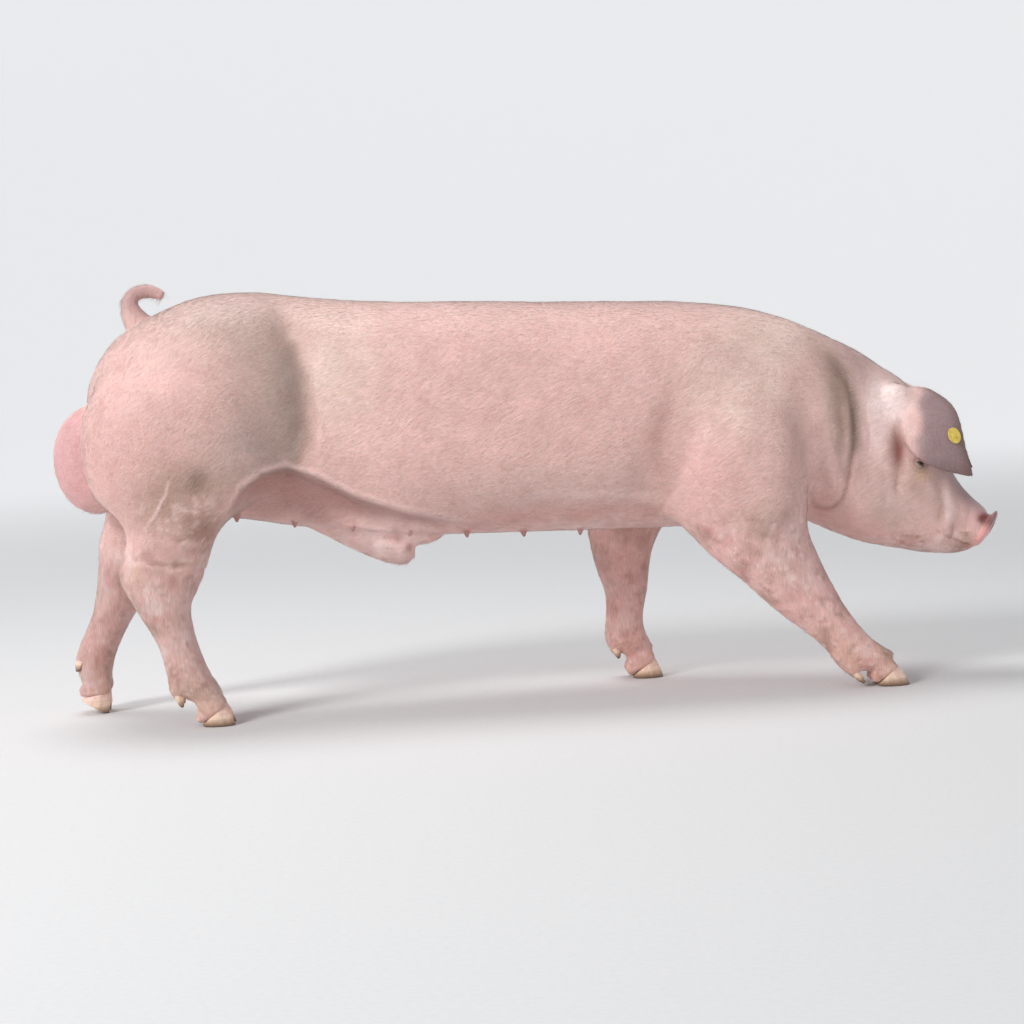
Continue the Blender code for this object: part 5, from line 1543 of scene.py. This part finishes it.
def make_coat(skin):
    """The bristles, in pieces from tail to snout."""
    generator = np.random.default_rng(7)
    skin.data.calc_loop_triangles()
    corners = np.empty(3 * len(skin.data.loop_triangles), np.int32)
    skin.data.loop_triangles.foreach_get("vertices", corners)
    points, outward = points_of(skin), outward_of(skin)
    root, normal = hair_roots(points, corners.reshape(-1, 3), outward, generator)
    order = np.argsort(root[:, 0])
    skin_map = SkinMap(skin)
    pieces = []
    for index, chosen in enumerate(np.array_split(order, COAT_PIECES)):
        roots, normals = root[chosen], normal[chosen]
        hair, triangles = hair_mesh(roots, normals, generator)
        straw = generator.uniform(*STRAW_SHARES, len(chosen)) * straw_share(roots)
        # the bristles carry the skin's colour, painted shade and painted light included
        tone = np.repeat(mix(colour_of(roots), STRAW, straw)[:, None, :], 7, axis=1)
        tone[:, :3] *= 0.97  # the three points of the root
        piece = mesh_object(f"bristles_{index + 1}", place(hair.reshape(-1, 3)), triangles)
        give_colours(piece, np.clip(tone.reshape(-1, 3), 0.0, 1.0))
        around = np.array([-0.5, 0.0, 0.5, -0.5, 0.0, 0.5, 0.0])
        onward = np.array([-0.5, -0.5, -0.5, 0.0, 0.0, 0.0, 0.5])
        spot = skin_map.at(roots)[:, None, :] + TUFT_PATCH * np.stack([around, onward], axis=1)
        layer = piece.data.uv_layers.new(name="OFBake")
        layer.data.foreach_set("uv", spot.reshape(-1, 2)[triangles.ravel()].astype(np.float32).ravel())
        flat = place(roots + 0.001 * normals) - place(roots)
        flat /= np.linalg.norm(flat, axis=1)[:, None]
        piece.data.shade_smooth()
        piece.data.normals_split_custom_set_from_vertices(np.repeat(flat, 7, axis=0))
        pieces.append(piece)
    return pieces


# ---- eyes, claws and the tag ---------------------------------------------------------------
CORNEA = 0.0007  # how far it stands out
CLAW_VOXEL = 0.0011  # cell of the remesh that wears a claw's edges


def make_eye(name):
    """A ball with a raised cornea; gaze and pupil grow from 0 at its axis to 1 at its rear half."""
    centre = np.array(EYES[name])
    axes = eye_axes(SIDES[name])
    bm = bmesh.new()
    bmesh.ops.create_icosphere(bm, subdivisions=5, radius=1.0)
    eye = object_from(bm, f"eyeball_{name}")
    local = points_of(eye)
    angle = np.arccos(np.clip(local[:, 2], -1.0, 1.0))
    radius = EYE_RADIUS - 0.0002 + CORNEA * smoothstep(0.75, 0.35, angle)
    set_points(eye, place(centre + (local * radius[:, None]) @ axes))
    ahead, up, out = local.T
    give_value(eye, "gaze", np.hypot(ahead, up) * (out > 0) + (out <= 0))
    give_value(eye, "pupil", np.hypot(ahead * 0.80, up * 1.15) + (out <= 0))
    eye.data.shade_smooth()
    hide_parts(f"eye_{name}")
    return eye


def make_claw(foot, inner, kind, label):
    """One claw or dewclaw with worn edges; the attribute level is 0 at the ground, 1 at the skin."""
    bm = bmesh.new()
    if kind == "claw":
        add_claw(bm, foot, inner)
    else:
        add_dewclaw(bm, foot, inner)
    claw = object_from(bm, f"{kind}_horn_{foot}_{label}")
    points = points_of(claw)
    points[:, 2] = np.maximum(points[:, 2], 0.0)
    set_points(claw, points)
    remesh = claw.modifiers.new("Even", "REMESH")
    remesh.mode, remesh.voxel_size = "VOXEL", CLAW_VOXEL
    bake(claw)
    soften(claw, 0.5, 6)
    points = points_of(claw)
    rings = noise(points[:, [2, 0, 0]] * (1.0, 0.0, 0.0), 0.0045, 31)
    move = 0.00030 * rings + 0.0004 * noise(points * (1.0, 1.0, 0.35), 0.004, 32)
    points = points + outward_of(claw) * move[:, None]
    points[:, 2] = np.maximum(points[:, 2], 0.0)
    tip = points[:, 2].min()
    level = smoothstep(tip, tip + 0.045, points[:, 2])
    set_points(claw, place(points))
    give_value(claw, "level", level)
    claw.data.shade_smooth()
    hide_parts(f"{kind}_{foot}_{label}")
    return claw


def make_tag(name):
    """A plate with a rounded rim, and its pin's head; or the plain button behind the ear."""
    plate = name == "ear_tag_plate"
    away = EAR_HALF_THICK + TAG_CLEAR - 0.0004
    width, height = (TAG_HALF_WIDTH, TAG_HALF_HEIGHT) if plate else (TAG_BACK, TAG_BACK)
    sign = 1.0 if plate else -1.0
    profile = [(0.97, 0.0), (1.0, 0.10), (1.0, 0.72), (0.965, 0.94), (0.90, 1.0)]
    profile += [(0.84, 0.92), (0.80, 0.86), (0.34, 0.86), (0.31, 1.02), (0.27, 1.16), (0.18, 1.22)]
    rings = []
    for out, over in profile:
        ring = []
        for angle in circle(64):
            point = (out * width * math.cos(angle), out * height * math.sin(angle))
            ring.append(tag_matrix() @ Vector((*point, sign * (away + over * TAG_THICK))))
        rings.append(ring)
    bm = bmesh.new()
    skin_rings(bm, rings)
    tag = object_from(bm, f"tag_{'front' if plate else 'back'}")
    set_points(tag, place(points_of(tag)))
    tag.data.shade_smooth()
    tag.data.set_sharp_from_angle(angle=math.radians(40.0))
    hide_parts(name)
    return tag


# ---- materials -----------------------------------------------------------------------------
class Nodes:
    """A short way to build a node tree round a Principled BSDF."""

    def __init__(self, name):
        self.material = bpy.data.materials.new(name)
        self.material.use_nodes = True
        self.tree = self.material.node_tree
        self.shader = self.tree.nodes["Principled BSDF"]

    def add(self, kind, inputs=None, **settings):
        node = self.tree.nodes.new(kind)
        for key, value in settings.items():
            setattr(node, key, value)
        for key, value in (inputs or {}).items():
            if isinstance(value, bpy.types.NodeSocket):
                self.tree.links.new(value, node.inputs[key])
            else:
                node.inputs[key].default_value = value
        return node

    def attribute(self, name, output="Fac"):
        return self.add("ShaderNodeAttribute", attribute_name=name).outputs[output]

    def noise(self, sizes, detail=3.0, turn=0.0):
        """Noise whose features are as long, wide and high as sizes, turned down at the rear."""
        where = self.add("ShaderNodeTexCoord").outputs["Object"]
        inputs = {"Vector": where, "Rotation": (0.0, turn, 0.0), "Scale": sizes}
        mapping = self.add("ShaderNodeMapping", inputs, vector_type="TEXTURE")
        inputs = {"Vector": mapping.outputs["Vector"], "Scale": 1.0, "Detail": detail}
        return self.add("ShaderNodeTexNoise", inputs).outputs["Fac"]

    def ramp(self, value, stops):
        node = self.add("ShaderNodeValToRGB", {"Fac": value})
        elements = node.color_ramp.elements
        while len(elements) < len(stops):
            elements.new(0.5)
        for element, (position, colour) in zip(elements, stops):
            element.position, element.color = position, (*colour, 1.0)
        return node.outputs["Color"]

    def blend(self, share, first, second, mode="MIX"):
        node = self.add("ShaderNodeMix", data_type="RGBA", blend_type=mode)
        for socket, value in zip((node.inputs[0], node.inputs[6], node.inputs[7]), (share, first, second)):
            if isinstance(value, bpy.types.NodeSocket):
                self.tree.links.new(value, socket)
            else:
                socket.default_value = value
        return node.outputs[2]

    def between(self, value, low, high):
        node = self.add("ShaderNodeMapRange", {"Value": value, "To Min": low, "To Max": high})
        return node.outputs["Result"]

    def bump(self, height, distance, strength, normal=None):
        inputs = {"Height": height, "Distance": distance, "Strength": strength}
        if normal:
            inputs["Normal"] = normal
        return self.add("ShaderNodeBump", inputs).outputs["Normal"]

    def finish(self, **sockets):
        for key, value in sockets.items():
            socket = self.shader.inputs[key.replace("_", " ").title().replace("Ior", "IOR")]
            if isinstance(value, bpy.types.NodeSocket):
                self.tree.links.new(value, socket)
            else:
                socket.default_value = value
        return self.material


BLACK, WHITE = (0.0, 0.0, 0.0), (1.0, 1.0, 1.0)
SKIN_RADIUS = (0.010, 0.0035, 0.0018)  # how far red, green and blue light spread under the skin


def skin_material():
    """Pink hide under short white hair: streaks lie back along the trunk and down the legs."""
    nodes = Nodes("pig_skin")
    tone = nodes.attribute("tone", "Color")
    along = nodes.noise((0.0263, 0.0024, 0.0024), 3.0, math.radians(-28.0))
    down = nodes.noise((0.0024, 0.0024, 0.0227), 3.0)
    streak = nodes.blend(nodes.attribute("down"), along, down)
    fine = nodes.noise((0.0024, 0.0024, 0.0024), 2.0)
    mottle = nodes.noise((0.0385, 0.0385, 0.0385), 4.0)
    pale = nodes.ramp(streak, [(0.50, BLACK), (0.72, (0.80, 0.80, 0.80))])
    lighter = nodes.blend(1.0, tone, (1.22, 1.24, 1.26, 1.0), "MULTIPLY")
    colour = nodes.blend(pale, tone, lighter)
    dark = nodes.ramp(streak, [(0.28, (0.86, 0.83, 0.81)), (0.48, WHITE)])
    colour = nodes.blend(0.7, colour, dark, "MULTIPLY")
    patchy = [(0.30, (0.90, 0.84, 0.82)), (0.55, WHITE), (0.75, (1.05, 1.0, 0.98))]
    colour = nodes.blend(0.7, colour, nodes.ramp(mottle, patchy), "MULTIPLY")
    rough = nodes.between(nodes.attribute("wet"), 0.60, 0.30)
    normal = nodes.bump(streak, 0.0009, 0.40)
    normal = nodes.bump(fine, 0.0005, 0.35, normal)
    soft = {"sheen_weight": 0.12, "subsurface_weight": 0.10, "subsurface_radius": SKIN_RADIUS}
    return nodes.finish(base_color=colour, roughness=rough, normal=normal, **soft)


def coat_material():
    """The bristles take their colour from the skin under them."""
    nodes = Nodes("pig_bristles")
    patches = nodes.noise((0.0167, 0.0167, 0.0167))
    shade = nodes.ramp(patches, [(0.35, (0.86, 0.84, 0.82)), (0.65, WHITE)])
    colour = nodes.blend(0.6, nodes.attribute("tone", "Color"), shade, "MULTIPLY")
    return nodes.finish(base_color=colour, roughness=0.42)


# Horn from the sole up
HORN = [
    (0.0, (0.200, 0.120, 0.080)),
    (0.10, (0.480, 0.320, 0.220)),
    (0.40, (0.950, 0.700, 0.550)),
    (1.0, (0.960, 0.680, 0.590)),
]


def horn_material():
    """Yellowish claw horn with growth rings, fine lengthwise grain and dirt at the sole."""
    nodes = Nodes("claw_horn")
    rings = nodes.noise((0.0333, 0.0333, 0.0024), 3.0)
    grain = nodes.noise((0.0019, 0.0019, 0.0167), 3.0)
    base = nodes.ramp(nodes.attribute("level"), HORN)
    bands = nodes.ramp(rings, [(0.35, (0.88, 0.84, 0.80)), (0.60, WHITE)])
    lines = nodes.ramp(grain, [(0.35, (0.80, 0.76, 0.72)), (0.60, WHITE)])
    colour = nodes.blend(0.75, nodes.blend(0.8, base, bands, "MULTIPLY"), lines, "MULTIPLY")
    normal = nodes.bump(grain, 0.0005, 0.5, nodes.bump(rings, 0.0007, 0.5))
    rough = nodes.between(grain, 0.38, 0.62)
    return nodes.finish(base_color=colour, roughness=rough, normal=normal)


# The white of the eye, from the dark rim of the iris outward
EYE_WHITE = [
    (0.66, (0.030, 0.016, 0.012)),
    (0.78, (0.420, 0.280, 0.240)),
    (1.0, (0.500, 0.260, 0.220)),
]


def eye_material():
    """Brown iris with a wide dark pupil, a dark rim and a reddish white, under a wet film."""
    nodes = Nodes("pig_eye")
    gaze = nodes.attribute("gaze")
    flecks = nodes.noise((0.0011, 0.0011, 0.0011), 3.0)
    brown = nodes.ramp(flecks, [(0.35, (0.045, 0.020, 0.010)), (0.65, (0.150, 0.075, 0.035))])
    inner = nodes.ramp(nodes.attribute("pupil"), [(0.24, BLACK), (0.30, WHITE)])
    colour = nodes.blend(inner, (0.004, 0.003, 0.003, 1.0), brown)
    rim = nodes.ramp(gaze, [(0.58, BLACK), (0.68, WHITE)])
    colour = nodes.blend(rim, colour, nodes.ramp(gaze, EYE_WHITE))
    film = {"coat_weight": 1.0, "coat_roughness": 0.02}
    return nodes.finish(base_color=colour, roughness=0.10, **film)


def tag_material():
    """Yellow plastic, dull where it is dirty."""
    nodes = Nodes("tag_plastic")
    dirt = nodes.noise((0.0083, 0.0083, 0.0083), 5.0)
    speck = nodes.noise((0.0011, 0.0011, 0.0011), 2.0)
    colour = nodes.ramp(dirt, [(0.30, (0.560, 0.410, 0.070)), (0.70, (0.760, 0.580, 0.120))])
    rough = nodes.between(dirt, 0.62, 0.38)
    return nodes.finish(base_color=colour, roughness=rough, normal=nodes.bump(speck, 0.0003, 0.4))


# ---- camera, floor and lights ---------------------------------------------------------------
CAMERA_YAW, CAMERA_PITCH, CAMERA_ROLL = math.radians(4.0), math.radians(-4.66), math.radians(-3.0)
CAMERA_AWAY, CAMERA_HEIGHT, CAMERA_LENS = 5.6, 0.88, 86.6


def add_camera():
    """The photo's viewpoint: a little behind the boar's right side, at its back's height."""
    data = bpy.data.cameras.new("camera")
    data.lens, data.clip_end = CAMERA_LENS, 200.0
    camera = bpy.data.objects.new("camera", data)
    bpy.context.scene.collection.objects.link(camera)
    where = Vector((-CAMERA_AWAY * math.sin(CAMERA_YAW), -CAMERA_AWAY * math.cos(CAMERA_YAW), CAMERA_HEIGHT))
    turn = Matrix.Rotation(-CAMERA_YAW, 4, "Z") @ Matrix.Rotation(math.pi / 2 + CAMERA_PITCH, 4, "X")
    turn = turn @ Matrix.Rotation(CAMERA_ROLL, 4, "Z")
    camera.matrix_world = Matrix.Translation(where - Vector(SHIFT)) @ turn
    bpy.context.scene.camera = camera


FLOOR_FLAT, SWEEP = 9.0, 7.0  # radius of the flat part, and of the curve up from it


GLOW_FROM, GLOW_TO, GLOW = 2.5, 9.5, 0.42  # radii over which the floor's own light grows, and its most
GLOW_COLOUR = (0.97, 0.98, 1.0, 1.0)


def floor_material():
    """Pale paint that glows faintly far out, so that the backdrop stays pale."""
    nodes = Nodes("floor_paint")
    grain = nodes.noise((0.0111, 0.0111, 0.0111), 4.0)
    colour = nodes.ramp(grain, [(0.3, (0.71, 0.71, 0.71)), (0.7, (0.74, 0.74, 0.74))])
    where = nodes.add("ShaderNodeTexCoord").outputs["Object"]
    away = nodes.add("ShaderNodeVectorMath", {0: where}, operation="LENGTH").outputs["Value"]
    inputs = {"Value": away, "From Min": GLOW_FROM, "From Max": GLOW_TO, "To Min": 0.0, "To Max": GLOW}
    glow = nodes.add("ShaderNodeMapRange", inputs, interpolation_type="SMOOTHSTEP").outputs["Result"]
    nodes.material.cycles.emission_sampling = "NONE"
    light = {"emission_color": GLOW_COLOUR, "emission_strength": glow}
    return nodes.finish(base_color=colour, roughness=0.85, **light)


def add_floor():
    """A round floor that sweeps up into a wall all about, so that no edge shows behind the boar."""
    turns = np.linspace(0.0, math.pi / 2, 14)
    profile = [(0.001, 0.0), (FLOOR_FLAT, 0.0)]
    profile += [(FLOOR_FLAT + SWEEP * math.sin(t), SWEEP * (1.0 - math.cos(t))) for t in turns[1:]]
    bm = bmesh.new()
    line = [bm.verts.new((radius, 0.0, height)) for radius, height in profile]
    edges = [bm.edges.new(pair) for pair in zip(line, line[1:])]
    turn = {"cent": (0, 0, 0), "axis": (0, 0, 1), "angle": 2 * math.pi, "steps": 96}
    bmesh.ops.spin(bm, geom=line + edges, **turn)
    bmesh.ops.remove_doubles(bm, verts=bm.verts, dist=0.0005)
    bmesh.ops.recalc_face_normals(bm, faces=bm.faces)
    floor = object_from(bm, "floor")
    floor.data.shade_smooth()
    floor.data.materials.append(floor_material())


AIM = (0.0, 0.0, 0.5)
# Soft round lamps: place, size, power
LAMPS = {
    "key": ((-5.6, -4.2, 5.0), 2.2, 380.0),
    "top": ((-1.2, 1.2, 6.0), 3.0, 165.0),
    "fill": ((4.0, -6.0, 2.4), 4.0, 25.0),
}
SKY, SKY_STRENGTH = (0.94, 0.96, 1.0, 1.0), 0.34


def add_lamps():
    for name, (where, size, power) in LAMPS.items():
        data = bpy.data.lights.new(name, "AREA")
        data.shape, data.size, data.energy = "DISK", size, power
        light = bpy.data.objects.new(name, data)
        bpy.context.scene.collection.objects.link(light)
        light.location = where
        light.rotation_euler = (Vector(AIM) - Vector(where)).to_track_quat("-Z", "Y").to_euler()


def add_studio():
    """World light, floor and lamps, and colours shown as they are."""
    world = bpy.data.worlds.new("studio")
    world.use_nodes = True
    background = world.node_tree.nodes["Background"]
    background.inputs["Color"].default_value = SKY
    background.inputs["Strength"].default_value = SKY_STRENGTH
    bpy.context.scene.world = world
    bpy.context.scene.view_settings.view_transform = "Standard"
    add_floor()
    add_lamps()


# ---- the whole --------------------------------------------------------------------------------
# The nodes that the skin stands for
FLESH = ["trunk", "neck", "head", "snout", "lower_jaw", "ear_right", "ear_left", "tail"]
FLESH += ["scrotum", "sheath"]
FLESH += [f"{part}_leg_{foot}" for part in ("upper", "lower") for foot in FEET]


def finish_piece(piece, material):
    """Material, body and slot of one piece."""
    piece.data.materials.clear()
    piece.data.materials.append(material)
    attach(piece, "root")


def main():
    skin = make_skin()
    coat = make_coat(skin)
    points = points_of(skin)
    give_colours(skin, colour_of(points))
    give_value(skin, "down", np.maximum(smoothstep(0.42, 0.32, points[:, 2]), both_ears(points)))
    disc = np.linalg.norm(points - np.array(DISC_CENTRE), axis=1)
    give_value(skin, "wet", np.maximum(smoothstep(0.062, 0.050, disc), eye_near(points, 0.016)))
    set_points(skin, place(points))
    skin.data.shade_smooth()
    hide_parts(*FLESH)
    finish_piece(skin, skin_material())
    bristles = coat_material()
    for piece in coat:
        finish_piece(piece, bristles)
    wet_eye = eye_material()
    for name in SIDES:
        finish_piece(make_eye(name), wet_eye)
    horn = horn_material()
    for foot in FEET:
        for inner, label in ((-1.0, "a"), (1.0, "b")):
            for kind in ("claw", "dewclaw"):
                finish_piece(make_claw(foot, inner, kind, label), horn)
    plastic = tag_material()
    for name in ("ear_tag_plate", "ear_tag_button"):
        finish_piece(make_tag(name), plastic)
    add_camera()
    add_studio()


main()
